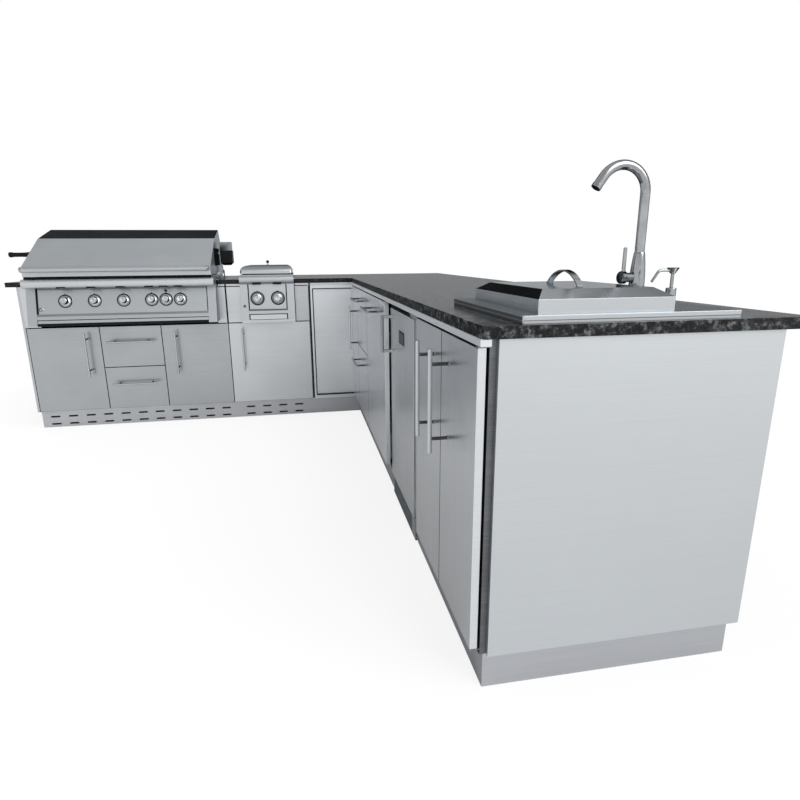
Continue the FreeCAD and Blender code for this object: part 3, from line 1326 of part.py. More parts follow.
def igniter_button():
    """The round igniter button in its sleeve."""
    x = GRILL_X + IGNITER_OFFSET
    return leaning_rod(fascia_point, x, IGNITER_Z, IGNITER_OUT, -IGNITER_IN, IGNITER_R)


def drip_tray():
    """The grease tray below the firebox: a leaning front between the pillars and a pan."""
    inner = GRILL_W / 2 - PILLAR_W - TRAY_SIDE_PLAY
    low = FASCIA_BOTTOM - TRAY_FRONT_DROP
    x0 = GRILL_X - inner
    x1 = GRILL_X + inner
    front = leaning_plate(fascia_point, x0, x1, low, low + TRAY_FRONT_H, TRIM_T, 0.0)
    half = TRAY_PAN_W / 2
    top = TRAY_PAN_BOTTOM + TRAY_PAN_H
    start = fascia_point(top, 0.0)[0] - FRONT_A + SHEET
    x0 = GRILL_X - half
    x1 = GRILL_X + half
    pan = open_box("A", x0, x1, start, start + TRAY_DEPTH, TRAY_PAN_BOTTOM, top, SHEET)
    foot = fascia_point(TRAY_PAN_BOTTOM, 0.0)
    head = fascia_point(top, 0.0)
    link = prism_x([foot, head, (FRONT_A + start, top), (FRONT_A + start, foot[1])], x0, x1)
    return [front, link] + pan


def rotisserie_motor():
    """The motor box on its upright plate, right of the lid."""
    y = FRONT_A + SPIT_BACK
    x0 = GRILL_X + MOTOR_PLATE_X
    x1 = x0 + MOTOR_PLATE_T
    half = MOTOR_D / 2
    bearing = rod(V(x0 - 1, y, SPIT_Z), V(x1 + 1, y, SPIT_Z), SPIT_R + RUNNING_FIT)
    plate = box(x0, x1, y - half, y + half, COUNTER_TOP + FLANGE_T, MOTOR_TOP - MOTOR_CHAMFER).cut(bearing)
    body = box(x1, x1 + MOTOR_W, y - half, y + half, MOTOR_BOTTOM, MOTOR_SPLIT)
    foot_edges = [e for e in body.Edges if all(v.Point.z < MOTOR_BOTTOM + 1 for v in e.Vertexes)]
    body = body.makeChamfer(MOTOR_CHAMFER, foot_edges)
    socket = rod(V(x1 - 1, y, SPIT_Z), V(x1 + MOTOR_SOCKET_L, y, SPIT_Z), MOTOR_SOCKET_R)
    cap = box(x1, x1 + MOTOR_W - MOTOR_CAP_SET, y - half, y + half, MOTOR_SPLIT, MOTOR_TOP)
    return [plate, body.cut(socket), cap]


def spit_rod():
    """The spit with its grip at the left and two meat forks inside the lid."""
    y = FRONT_A + SPIT_BACK
    end = GRILL_X + MOTOR_PLATE_X + MOTOR_PLATE_T + MOTOR_SOCKET_L - SHEET
    grip_end = SPIT_LEFT + SPIT_GRIP_L
    bar = rod(V(grip_end, y, SPIT_Z), V(end, y, SPIT_Z), SPIT_R)
    solids = [bar, rod(V(SPIT_LEFT, y, SPIT_Z), V(grip_end, y, SPIT_Z), SPIT_GRIP_R)]
    for side in (-1, 1):
        x = GRILL_X + side * FORK_X
        inner = x - side * FORK_HUB_L
        hub = rod(V(x, y, SPIT_Z), V(inner, y, SPIT_Z), FORK_HUB_R)
        arm = box(x, inner, y - FORK_HUB_R / 2, y + FORK_HUB_R / 2, SPIT_Z - FORK_REACH, SPIT_Z + FORK_REACH)
        prongs = []
        for up in (-1, 1):
            z = SPIT_Z + up * (FORK_REACH - FORK_PRONG_R * 2)
            prongs.append(rod(V(x, y, z), V(x - side * FORK_PRONG_L, y, z), FORK_PRONG_R))
        solids.append(hub.fuse([arm] + prongs).cut(bar))
    return solids


def side_burner_tray():
    """The side burner's body: pan, flange, fascia, pillars, cheeks, bullnose and hinge ears."""
    half = SIDE_W / 2
    x0 = SIDE_X - half
    x1 = SIDE_X + half
    wall = SIDE_WALL
    front = SIDE_BODY_FRONT
    back = front + SIDE_BODY_DEPTH
    floor = COUNTER_TOP - SIDE_TRAY_DROP
    deck = back - SIDE_DECK_BACK
    lap = SIDE_NOTCH_PLAY + SIDE_FLANGE_LAP
    solids = [
        slab("A", x0, x1, front, back, floor, floor + wall),
        slab("A", x0, x1, front, front + wall, floor + wall, SIDE_RIM),
        slab("A", x0, x1, back - wall, back, floor + wall, SIDE_RIM),
        slab("A", x0, x0 + wall, front + wall, back - wall, floor + wall, SIDE_RIM),
        slab("A", x1 - wall, x1, front + wall, back - wall, floor + wall, SIDE_RIM),
        slab("A", x0 + wall, x1 - wall, deck, back - wall, SIDE_RIM - wall, SIDE_RIM),
        slab("A", x0 - lap, x0, 0.0, back + lap, COUNTER_TOP, COUNTER_TOP + wall),
        slab("A", x1, x1 + lap, 0.0, back + lap, COUNTER_TOP, COUNTER_TOP + wall),
        slab("A", x0, x1, back, back + lap, COUNTER_TOP, COUNTER_TOP + wall),
    ]
    solids += side_fascia(x0, x1)
    bullnose_front = FRONT_A - SIDE_BULLNOSE_PROUD
    solids.append(rounded_shelf(x0, x1, bullnose_front, FRONT_A + front, SIDE_BULLNOSE_Z,
                                SIDE_BULLNOSE_Z + SIDE_BULLNOSE_H, BULLNOSE_R, wall))
    return solids + side_ears(x0, x1)


def side_fascia(x0, x1):
    """The side burner's front sheet with its pillars, cheeks and trim."""
    top = SIDE_BULLNOSE_Z
    sheet = leaning_plate(side_point, x0 + SIDE_PILLAR_T, x1 - SIDE_PILLAR_T, SIDE_FASCIA_BOTTOM, top, 0.0,
                          -FASCIA_T)
    for offset in SIDE_KNOB_OFFSETS:
        hole = leaning_rod(side_point, SIDE_X + offset, SIDE_KNOB_Z, 1.0, -FASCIA_T - 1, STEM_R + 1)
        sheet = sheet.cut(hole)
    low = side_point(SIDE_FASCIA_BOTTOM, 0.0)
    high = side_point(top, 0.0)
    wall = FRONT_A - FASCIA_CHEEK_PLAY
    pan = slab("A", x0 - 1, x1 + 1, SIDE_BODY_FRONT, SIDE_BODY_DEPTH, COUNTER_TOP - SIDE_TRAY_DROP, SIDE_RIM)
    solids = [sheet]
    for a, b in ((x0, x0 + SIDE_PILLAR_W), (x1 - SIDE_PILLAR_W, x1)):
        solids.append(leaning_plate(side_point, a, b, SIDE_FASCIA_BOTTOM, top, SIDE_PILLAR_T, 0.0))
    for a in (x0, x1 - SIDE_PILLAR_T):
        cheek = prism_x([low, high, (wall, high[1]), (wall, low[1])], a, a + SIDE_PILLAR_T)
        solids.append(cheek.cut(pan))
    inner0 = x0 + SIDE_PILLAR_W
    inner1 = x1 - SIDE_PILLAR_W
    foot = TRIM_Z - TRIM_H / 2
    solids.append(leaning_plate(side_point, inner0, inner1, foot, foot + TRIM_H, TRIM_T, 0.0))
    return solids


def side_ears(x0, x1):
    """Two ears on the pan's rim, with pins that reach into the lid's end walls."""
    y = FRONT_A + SIDE_HINGE_BACK
    solids = []
    for edge, side in ((x0, 1), (x1, -1)):
        far = edge + side * SIDE_EAR_T
        tip = SIDE_X - side * (SIDE_LID_W / 2 - SIDE_LID_WALL * 2)
        plate = box(edge, far, y - SIDE_EAR_R, y + SIDE_EAR_R, SIDE_RIM, SIDE_HINGE_Z)
        head = rod(V(edge, y, SIDE_HINGE_Z), V(far, y, SIDE_HINGE_Z), SIDE_EAR_R)
        pin = rod(V(edge, y, SIDE_HINGE_Z), V(tip, y, SIDE_HINGE_Z), SIDE_PIN_R)
        solids.append(plate.fuse([head, pin]))
    return solids


def side_burner_hob():
    """The side burner's ring with its cap and the pan support over it."""
    floor = COUNTER_TOP - SIDE_TRAY_DROP + SIDE_WALL
    y = FRONT_A + SIDE_RING_BACK
    ring_top = floor + SIDE_RING_H
    body = ring(V(SIDE_X, y, floor), V(SIDE_X, y, ring_top), SIDE_RING_R, SIDE_RING_BORE)
    cap = rod(V(SIDE_X, y, ring_top), V(SIDE_X, y, ring_top + SIDE_WALL * 2), SIDE_RING_R - SIDE_WALL)
    half = SIDE_GRATE_W / 2
    bar = GRATE_BAR_W / 2
    low = SIDE_GRATE_Z - GRATE_H
    reach = half + bar
    grate = box(SIDE_X - reach, SIDE_X + reach, y - reach, y + reach, low, SIDE_GRATE_Z)
    for a in (-half, 0.0):
        for b in (-half, 0.0):
            grate = grate.cut(box(SIDE_X + a + bar, SIDE_X + a + half - bar, y + b + bar, y + b + half - bar,
                                  low - 1, SIDE_GRATE_Z + 1))
    legs = []
    for a in (-half, half):
        for b in (-half, half):
            legs.append(box(SIDE_X + a - bar, SIDE_X + a + bar, y + b - bar, y + b + bar, floor, low))
    return [body, cap, grate] + legs


def side_burner_lid():
    """The side burner's rounded lid with its ball knob."""
    half = SIDE_LID_W / 2
    y0 = FRONT_A + SIDE_LID_FRONT
    y1 = FRONT_A + SIDE_LID_BACK
    top = SIDE_LID_Z + SIDE_LID_H
    outer = lid_block(SIDE_X - half, SIDE_X + half, y0, y1, SIDE_LID_Z, top, SIDE_LID_CORNER_R, SIDE_LID_R)
    t = SIDE_LID_WALL
    inner = lid_block(SIDE_X - half + t, SIDE_X + half - t, y0 + t, y1 - t, SIDE_LID_Z - SIDE_LID_R, top - t,
                      SIDE_LID_CORNER_R - t, SIDE_LID_R - t)
    y = FRONT_A + SIDE_HINGE_BACK
    reach = half + 1
    bore = rod(V(SIDE_X - reach, y, SIDE_HINGE_Z), V(SIDE_X + reach, y, SIDE_HINGE_Z),
               SIDE_PIN_R + RUNNING_FIT)
    shell = outer.cut([inner, bore])
    ball_y = FRONT_A + SIDE_BALL_BACK
    middle = V(SIDE_X, ball_y, top + SIDE_BALL_NECK + SIDE_BALL_R)
    neck = rod(V(SIDE_X, ball_y, top), middle, SIDE_BALL_NECK_R)
    ball = Part.makeSphere(SIDE_BALL_R, middle)
    return [shell, ball.fuse(neck)]


def lid_block(x0, x1, y0, y1, z0, z1, corner, roll):
    """A block with rounded upright corners and its top rolled down on all four sides."""
    block = eased(box(x0, x1, y0, y1, z0, z1), corner, V(0, 0, 1))
    for along in (V(1, 0, 0), V(0, 1, 0)):
        rolled = eased(box(x0, x1, y0, y1, z0 - roll * 2, z1), roll, along)
        block = block.common(rolled)
    return block


def fridge_span():
    """The fridge's two side planes."""
    return FRIDGE_Y, FRIDGE_Y + FRIDGE_W


def fridge_cabinet():
    """The fridge's walls, vent and hinge cover, base grille, feet, pivots and compressor."""
    u0, u1 = fridge_span()
    w0 = FRIDGE_BACK_SET
    w1 = w0 + FRIDGE_DEPTH
    wall = FRIDGE_WALL
    solids = [
        slab("B", u0, u1, w0, w1, FRIDGE_BOTTOM, FRIDGE_BOTTOM + wall),
        slab("B", u0, u1, w0, w1, FRIDGE_TOP - wall, FRIDGE_TOP),
        slab("B", u0, u0 + wall, w0, w1, FRIDGE_BOTTOM + wall, FRIDGE_TOP - wall),
        slab("B", u1 - wall, u1, w0, w1, FRIDGE_BOTTOM + wall, FRIDGE_TOP - wall),
        slab("B", u0 + wall, u1 - wall, w1 - wall, w1, FRIDGE_BOTTOM + wall, FRIDGE_TOP - wall),
    ]
    vent_z = FRIDGE_DOOR_TOP + FRONT_GAP
    cover = u0 + FRIDGE_HINGE_COVER_W
    solids.append(slab("B", u0, cover, FRIDGE_SET, w0, vent_z, FRIDGE_TOP))
    solids.append(slab("B", cover, u1, FRIDGE_SET + PIVOT_INSET, w0, vent_z, FRIDGE_TOP))
    for u in (u0 + FRIDGE_BRACKET_INSET, u1 - FRIDGE_BRACKET_INSET - FRIDGE_BRACKET_L):
        solids.append(slab("B", u, u + FRIDGE_BRACKET_L, w0, w0 + FRIDGE_BRACKET_L,
                           FRIDGE_TOP, CARCASS_TOP - PANEL))
    solids += fridge_base(u0, u1, w0, w1)
    solids += pivot_plates("B", u0, u1, FRIDGE_DOOR_BOTTOM, FRIDGE_DOOR_TOP, True, FRIDGE_SET, FRIDGE_DOOR_T,
                           FRIDGE_PIVOT_INSET)
    return solids


def fridge_base(u0, u1, w0, w1):
    """The louvred grille, side skirts, feet and compressor below the fridge."""
    back = FRIDGE_GRILLE_SET + FRIDGE_GRILLE_T
    plain = u0 + FRIDGE_HINGE_COVER_W
    grille = slab("B", u0, u1, FRIDGE_GRILLE_SET, back, FRIDGE_FOOT_H, FRIDGE_BOTTOM)
    pitch = (FRIDGE_BOTTOM - FRIDGE_FOOT_H) / (FRIDGE_LOUVRES + 0.5)
    for i in range(FRIDGE_LOUVRES):
        z = FRIDGE_FOOT_H + pitch * (i + 0.75)
        cut = slab("B", plain + PANEL, u1 - PANEL, FRIDGE_GRILLE_SET - 1, back + 1, z - FRIDGE_LOUVRE_H / 2,
                   z + FRIDGE_LOUVRE_H / 2)
        grille = grille.cut(cut)
    solids = [grille]
    for a in (u0, u1 - SHEET):
        solids.append(slab("B", a, a + SHEET, back, w1, FRIDGE_FOOT_H, FRIDGE_BOTTOM))
    solids.append(slab("B", u0 + SHEET, u1 - SHEET, back, w1, FRIDGE_FOOT_H, FRIDGE_FOOT_H + SHEET))
    inset = FRIDGE_FOOT_R * 2
    for u in (u0 + inset, u1 - inset):
        for w in (w0 + inset, w1 - inset):
            solids.append(rod(place("B", u, w, 0.0), place("B", u, w, FRIDGE_FOOT_H), FRIDGE_FOOT_R))
    middle = (u0 + u1) / 2
    deep = w1 - COMPRESSOR_R * 2
    low = FRIDGE_FOOT_H + SHEET
    foot = place("B", middle, deep, low)
    solids.append(rod(foot, foot + V(0, 0, COMPRESSOR_H), COMPRESSOR_R))
    return solids


def fridge_shelves():
    """Three shelves between the fridge's inner walls."""
    u0, u1 = fridge_span()
    w0 = FRIDGE_BACK_SET + FRIDGE_SHELF_SET
    w1 = FRIDGE_BACK_SET + FRIDGE_DEPTH - FRIDGE_WALL
    low = FRIDGE_BOTTOM + FRIDGE_WALL
    rise = (FRIDGE_TOP - FRIDGE_WALL - low) / (FRIDGE_SHELVES + 1)
    solids = []
    for i in range(FRIDGE_SHELVES):
        z = low + rise * (i + 1)
        solids.append(slab("B", u0 + FRIDGE_WALL, u1 - FRIDGE_WALL, w0, w1, z, z + FRIDGE_SHELF_T))
    return solids


def fridge_door():
    """The fridge door: folded front, gasket and a flat bar handle on two posts."""
    u0, u1 = fridge_span()
    solids = hinged_front("B", u0, u1, FRIDGE_DOOR_BOTTOM, FRIDGE_DOOR_TOP, True, FRIDGE_SET, FRIDGE_DOOR_T,
                          FRIDGE_PIVOT_INSET)
    back = FRIDGE_SET + FRIDGE_DOOR_T
    a = GASKET_INSET
    b = GASKET_INSET + GASKET_W
    seal = slab("B", u0 + a, u1 - a, back, back + GASKET_T, FRIDGE_DOOR_BOTTOM + a, FRIDGE_DOOR_TOP - a)
    hole = slab("B", u0 + b, u1 - b, back - 1, back + GASKET_T + 1,
                FRIDGE_DOOR_BOTTOM + b, FRIDGE_DOOR_TOP - b)
    solids.append(seal.cut(hole))
    u = u1 - FRIDGE_HANDLE_INSET
    half = FRIDGE_HANDLE_L / 2
    wide = FRIDGE_HANDLE_W / 2
    out = FRIDGE_SET - HANDLE_REACH
    low = FRIDGE_HANDLE_Z - half
    high = FRIDGE_HANDLE_Z + half
    thick = FRIDGE_HANDLE_T / 2
    solids.append(slab("B", u - wide, u + wide, out - thick, out + thick, low, high))
    for z0, z1 in ((low, low + FRIDGE_HANDLE_T), (high - FRIDGE_HANDLE_T, high)):
        solids.append(slab("B", u - wide, u + wide, out + FRIDGE_HANDLE_T / 2, FRIDGE_SET, z0, z1))
    return solids


def sink_unit():
    """The sink: a folded deck on the stone with the bowl welded below it."""
    t = SINK_WALL
    x1 = SINK_X + SINK_W
    y1 = SINK_Y + SINK_L
    deck = eased(box(SINK_X, x1, SINK_Y, y1, COUNTER_TOP, SINK_TOP), SINK_DECK_R, V(0, 0, 1))
    hollow = box(SINK_X + t, x1 - t, SINK_Y + t, y1 - t, COUNTER_TOP - 1, SINK_TOP - t)
    deck = deck.cut(eased(hollow, SINK_DECK_R - t, V(0, 0, 1)))
    for x, y, r in ((FAUCET_X, FAUCET_Y, FAUCET_TAIL_BORE_R), (SOAP_X, SOAP_Y, SOAP_TAIL_BORE_R)):
        deck = deck.cut(Part.makeCylinder(r, SINK_DECK_H + 2, V(x, y, COUNTER_TOP)))
    bottom = SINK_TOP - SINK_BOWL_D
    bowl = sink_hole(bottom, SINK_TOP, 0.0)
    inner = sink_hole(bottom + t, SINK_TOP + 1, -t)
    x = SINK_X + SINK_BOWL_X + SINK_BOWL_W / 2
    y = SINK_Y + SINK_L / 2
    drain = Part.makeCylinder(DRAIN_BORE_R, t + 2, V(x, y, bottom - 1))
    return deck.fuse(bowl).cut([inner, drain]).removeSplitter()


def sink_drain():
    """The drain: a flange in the bowl, its body and the waste pipe."""
    x = SINK_X + SINK_BOWL_X + SINK_BOWL_W / 2
    y = SINK_Y + SINK_L / 2
    bottom = SINK_TOP - SINK_BOWL_D
    seat = bottom + SINK_WALL
    flange = rod(V(x, y, seat), V(x, y, seat + DRAIN_FLANGE_T), DRAIN_FLANGE_R)
    body = rod(V(x, y, seat), V(x, y, seat - DRAIN_BODY_L), DRAIN_BORE_R)
    pipe = rod(V(x, y, seat - DRAIN_BODY_L), V(x, y, seat - DRAIN_BODY_L - DRAIN_PIPE_L), DRAIN_PIPE_R)
    mouth = rod(V(x, y, seat + DRAIN_FLANGE_T), V(x, y, seat - DRAIN_BODY_L / 2), DRAIN_PIPE_R)
    return flange.fuse([body, pipe]).cut(mouth)


def hip_block(x0, x1, y0, y1, z0, z1, z2):
    """A block with a hipped top: upright sides, then four slopes up to a flat."""
    block = box(x0, x1, y0, y1, z0, z1)
    low = Part.makePolygon([V(x0, y0, z1), V(x1, y0, z1), V(x1, y1, z1), V(x0, y1, z1), V(x0, y0, z1)])
    a0 = x0 + COVER_HIP_X
    a1 = x1 - COVER_HIP_X
    b0 = y0 + COVER_HIP_Y
    b1 = y1 - COVER_HIP_Y
    high = Part.makePolygon([V(a0, b0, z2), V(a1, b0, z2), V(a1, b1, z2), V(a0, b1, z2), V(a0, b0, z2)])
    return block.fuse(Part.makeLoft([low, high], True, True)).removeSplitter()


def sink_cover():
    """The hipped cover over the bowl with its arched strap handle."""
    x0 = SINK_X + COVER_X
    y0 = SINK_Y + COVER_Y
    x1 = x0 + COVER_W
    y1 = y0 + COVER_L
    side_top = SINK_TOP + COVER_SIDE_H
    top = side_top + COVER_RISE
    t = COVER_WALL
    shell = hip_block(x0, x1, y0, y1, SINK_TOP + RUNNING_FIT, side_top, top)
    shell = shell.cut(hip_block(x0 + t, x1 - t, y0 + t, y1 - t, SINK_TOP - 1, side_top - t, top - t))
    return [shell, cover_handle((x0 + x1) / 2, (y0 + y1) / 2, top)]


def cover_handle(x, y, z):
    """A strap bent into an arch, lying along the cover."""
    half = COVER_HANDLE_SPAN / 2
    rise = COVER_HANDLE_H
    wide = COVER_HANDLE_W / 2
    radius = (half * half + rise * rise) / (2 * rise)
    middle = z + rise - radius
    outer = rod(V(x - wide, y, middle), V(x + wide, y, middle), radius)
    inner = rod(V(x - wide - 1, y, middle), V(x + wide + 1, y, middle), radius - COVER_HANDLE_T)
    keep = box(x - wide - 1, x + wide + 1, y - half - 1, y + half + 1, z, z + rise + 1)
    return outer.cut(inner).common(keep)


def faucet_body():
    """The faucet's body on the deck with its tail, nut and the stub that carries the lever."""
    foot = V(FAUCET_X, FAUCET_Y, SINK_TOP)
    cone_z = SINK_TOP + FAUCET_BASE_H
    top = SINK_TOP + FAUCET_BODY_H
    base = Part.makeCylinder(FAUCET_BASE_R, FAUCET_BASE_H, foot)
    cone = Part.makeCone(FAUCET_BASE_R, FAUCET_TOP_R, top - cone_z, V(FAUCET_X, FAUCET_Y, cone_z))
    tail = Part.makeCylinder(FAUCET_TAIL_R, SINK_TOP - CARCASS_TOP + FAUCET_NUT_H * 2,
                             V(FAUCET_X, FAUCET_Y, CARCASS_TOP - FAUCET_NUT_H * 2))
    stub_x = LEVER_HUB_X + LEVER_HUB_L + SLIDE_PLAY
    stub = rod(V(stub_x, FAUCET_Y, LEVER_Z), V(FAUCET_X, FAUCET_Y, LEVER_Z), LEVER_STUB_R)
    spindle = rod(V(stub_x - LEVER_SPINDLE_L, FAUCET_Y, LEVER_Z), V(stub_x, FAUCET_Y, LEVER_Z),
                  LEVER_SPINDLE_R)
    bore = Part.makeCylinder(SPOUT_TAIL_R + RUNNING_FIT, SPOUT_TAIL_L + BORE_END_PLAY + 1,
                             V(FAUCET_X, FAUCET_Y, top - SPOUT_TAIL_L - BORE_END_PLAY))
    body = base.fuse([cone, tail, stub, spindle]).cut(bore)
    nut = Part.makeCylinder(FAUCET_NUT_R, FAUCET_NUT_H, V(FAUCET_X, FAUCET_Y, CARCASS_TOP - FAUCET_NUT_H))
    return [body, nut.cut(tail)]


def faucet_spout():
    """The swivel spout: a tail in the body, a riser, an arch and a straight tip."""
    foot = SINK_TOP + FAUCET_BODY_H + SLIDE_PLAY
    top = SINK_TOP + FAUCET_BODY_H + SPOUT_RISE
    start = V(FAUCET_X, FAUCET_Y, top)
    centre = V(FAUCET_X - SPOUT_BEND_R, FAUCET_Y, top)
    riser = ring(V(FAUCET_X, FAUCET_Y, foot), start, SPOUT_R, SPOUT_R - SPOUT_WALL)
    rim = Part.Face(Part.Wire(Part.makeCircle(SPOUT_R, start, V(0, 0, 1))))
    hole = Part.Face(Part.Wire(Part.makeCircle(SPOUT_R - SPOUT_WALL, start, V(0, 0, 1))))
    arch = rim.cut(hole).revolve(centre, V(0, -1, 0), SPOUT_BEND_ANGLE)
    angle = math.radians(SPOUT_BEND_ANGLE)
    end = centre + V(math.cos(angle), 0, math.sin(angle)) * SPOUT_BEND_R
    ahead = V(-math.sin(angle), 0, math.cos(angle))
    tip = ring(end, end + ahead * SPOUT_TIP_L, SPOUT_R, SPOUT_R - SPOUT_WALL)
    tail = rod(V(FAUCET_X, FAUCET_Y, foot - SPOUT_TAIL_L), V(FAUCET_X, FAUCET_Y, foot + SPOUT_WALL * 2),
               SPOUT_TAIL_R)
    plug = rod(V(FAUCET_X, FAUCET_Y, foot), V(FAUCET_X, FAUCET_Y, foot + SPOUT_WALL * 2), SPOUT_R)
    return riser.fuse([arch, tip, tail, plug])


def faucet_lever():
    """The lever: a hub on the body's spindle and an upright rod."""
    start = V(LEVER_HUB_X, FAUCET_Y, LEVER_Z)
    end = V(LEVER_HUB_X + LEVER_HUB_L, FAUCET_Y, LEVER_Z)
    x = LEVER_HUB_X + LEVER_HUB_L - LEVER_ROD_INSET
    hub = rod(start, end, LEVER_HUB_R)
    bar = rod(V(x, FAUCET_Y, LEVER_Z + LEVER_HUB_R / 2), V(x, FAUCET_Y, LEVER_Z + LEVER_ROD_TOP),
              LEVER_ROD_R)
    bore_start = LEVER_HUB_X + LEVER_HUB_L + SLIDE_PLAY - LEVER_SPINDLE_L - BORE_END_PLAY
    bore = rod(V(bore_start, FAUCET_Y, LEVER_Z), V(LEVER_HUB_X + LEVER_HUB_L + 1, FAUCET_Y, LEVER_Z),
               LEVER_SPINDLE_R + RUNNING_FIT)
    return hub.fuse(bar).cut(bore)


def soap_dispenser():
    """The soap dispenser's collar on the deck, its tail and the bottle below the stone."""
    foot = V(SOAP_X, SOAP_Y, SINK_TOP)
    collar = Part.makeCylinder(SOAP_BASE_R, SOAP_BASE_H, foot)
    flange = Part.makeCylinder(SOAP_BASE_R + SINK_WALL, SINK_WALL, foot)
    low = CARCASS_TOP - SOAP_STEM_IN
    tail = Part.makeCylinder(SOAP_TAIL_R, SINK_TOP - low, V(SOAP_X, SOAP_Y, low))
    bore = Part.makeCylinder(SOAP_STEM_R + RUNNING_FIT, SOAP_BASE_H + SOAP_STEM_IN * 2,
                             V(SOAP_X, SOAP_Y, SINK_TOP + SOAP_BASE_H - SOAP_STEM_IN * 2))
    bottle = Part.makeCylinder(SOAP_BOTTLE_R, SOAP_BOTTLE_H, V(SOAP_X, SOAP_Y, low - SOAP_BOTTLE_H))
    return [collar.fuse([flange, tail]).cut(bore), bottle]


def soap_pump():
    """The pump head: plunger, funnel-shaped cap and a thin spout."""
    low = SINK_TOP + SOAP_BASE_H
    high = low + SOAP_STEM_H
    stem = rod(V(SOAP_X, SOAP_Y, low - SOAP_STEM_IN), V(SOAP_X, SOAP_Y, high + SOAP_STEM_R), SOAP_STEM_R)
    cap = Part.makeCone(SOAP_HEAD_FOOT_R, SOAP_HEAD_R, SOAP_HEAD_H, V(SOAP_X, SOAP_Y, high))
    z = high + SOAP_HEAD_H / 2
    end = V(SOAP_X - SOAP_ARM_L, SOAP_Y, z)
    arm = rod(V(SOAP_X, SOAP_Y, z), end, SOAP_SPOUT_R)
    tip = rod(end, V(SOAP_X - SOAP_ARM_L - SOAP_TIP_L, SOAP_Y, z - SOAP_TIP_DROP), SOAP_SPOUT_R)
    elbow = Part.makeSphere(SOAP_SPOUT_R, end)
    return stem.fuse([cap, arm, tip, elbow])


def save_fronts():
    """Builds and saves every hinged front and drawer."""
    for name, (run, u0, u1, z0, z1, first, handle_u, handle_z) in hinged_fronts().items():
        solids = hinged_front(run, u0, u1, z0, z1, first)
        save(name, solids + pull_handle(run, handle_u, handle_z, True))
    for name, (run, u0, u1, z0, z1, clear0, clear1, handle_z) in drawer_fronts().items():
        save(name, drawer(run, u0, u1, z0, z1, clear0, clear1, handle_z))


def save_knobs():
    """Builds and saves every control knob."""
    for i, offset in enumerate(KNOB_OFFSETS):
        save("grill_knob_%d" % (i + 1), knob(fascia_point, GRILL_X + offset, KNOB_Z))
    for i, offset in enumerate(SIDE_KNOB_OFFSETS):
        save("side_knob_%d" % (i + 1), knob(side_point, SIDE_X + offset, SIDE_KNOB_Z))


def main():
    """Builds every node and writes it to the parts folder."""
    os.makedirs("parts", exist_ok=True)
    makers = (
        carcass_grill, carcass_burner, carcass_corner, carcass_drawers, carcass_fridge_bay, carcass_sink,
        end_panels, corner_panel, toe_kicks, face_frame, levelling_feet, countertop_run_a, countertop_run_b,
        cabinet_hardware, grill_firebox, grill_fascia, grill_bullnose, grill_lid, grill_lid_handle,
        burner_set, cooking_grates, gas_manifold, control_bezels, igniter_button, drip_tray,
        rotisserie_motor, spit_rod, side_burner_tray, side_burner_hob, side_burner_lid, fridge_cabinet,
        fridge_shelves, fridge_door, pullout, sink_unit, sink_drain, sink_cover, faucet_body, faucet_spout,
        faucet_lever, soap_dispenser, soap_pump,
    )
    for maker in makers:
        save(maker.__name__, maker())
    save_fronts()
    save_knobs()


main()
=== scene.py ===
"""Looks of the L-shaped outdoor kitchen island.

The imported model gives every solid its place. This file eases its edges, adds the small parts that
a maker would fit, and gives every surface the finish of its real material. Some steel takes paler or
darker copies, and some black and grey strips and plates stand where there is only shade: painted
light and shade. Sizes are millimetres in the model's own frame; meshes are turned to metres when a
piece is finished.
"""
import json
import logging
import math
from dataclasses import dataclass, field
from enum import Enum
from typing import Callable, Iterable, Optional, Sequence, Union

import bmesh
import bpy
from mathutils import Matrix, Vector


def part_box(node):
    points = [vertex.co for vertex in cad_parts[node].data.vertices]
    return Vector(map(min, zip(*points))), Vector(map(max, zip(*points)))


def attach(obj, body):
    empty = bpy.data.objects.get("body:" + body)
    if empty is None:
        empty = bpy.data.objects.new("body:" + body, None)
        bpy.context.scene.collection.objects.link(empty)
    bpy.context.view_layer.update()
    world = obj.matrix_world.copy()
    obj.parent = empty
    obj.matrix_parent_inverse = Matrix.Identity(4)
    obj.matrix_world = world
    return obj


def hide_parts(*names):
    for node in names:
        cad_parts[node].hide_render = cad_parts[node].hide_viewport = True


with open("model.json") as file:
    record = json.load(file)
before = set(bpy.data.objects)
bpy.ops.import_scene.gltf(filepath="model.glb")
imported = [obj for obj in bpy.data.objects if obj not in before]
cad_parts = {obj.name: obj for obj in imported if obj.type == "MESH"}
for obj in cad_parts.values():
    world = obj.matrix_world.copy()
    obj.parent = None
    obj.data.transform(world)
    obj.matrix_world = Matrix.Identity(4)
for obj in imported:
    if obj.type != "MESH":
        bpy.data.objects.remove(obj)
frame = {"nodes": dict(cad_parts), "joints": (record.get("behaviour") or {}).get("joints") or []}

log = logging.getLogger("island")
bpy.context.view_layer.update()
MM = 0.001
ROUND = 2 * math.pi
ISLAND = "island"
Point = tuple[float, float, float]
Value = Union[float, bool, Sequence[float], bpy.types.NodeSocket]


class Grain(Enum):
    """The direction in which a sheet was brushed."""

    X = 0
    Y = 1
    Z = 2


def linear(code: str) -> tuple[float, float, float, float]:
    """Turns an sRGB hex colour to linear light.

    Args:
        code: The colour as #RRGGBB.

    Returns:
        Red, green, blue and an alpha of one.
    """
    parts = [int(code[i:i + 2], 16) / 255 for i in (1, 3, 5)]
    red, green, blue = (c / 12.92 if c <= 0.04045 else ((c + 0.055) / 1.055) ** 2.4 for c in parts)
    return red, green, blue, 1.0


def per_metre(millimetres: float) -> float:
    """The texture scale at which one feature is that many millimetres wide."""
    return 1.0 / (millimetres * MM)


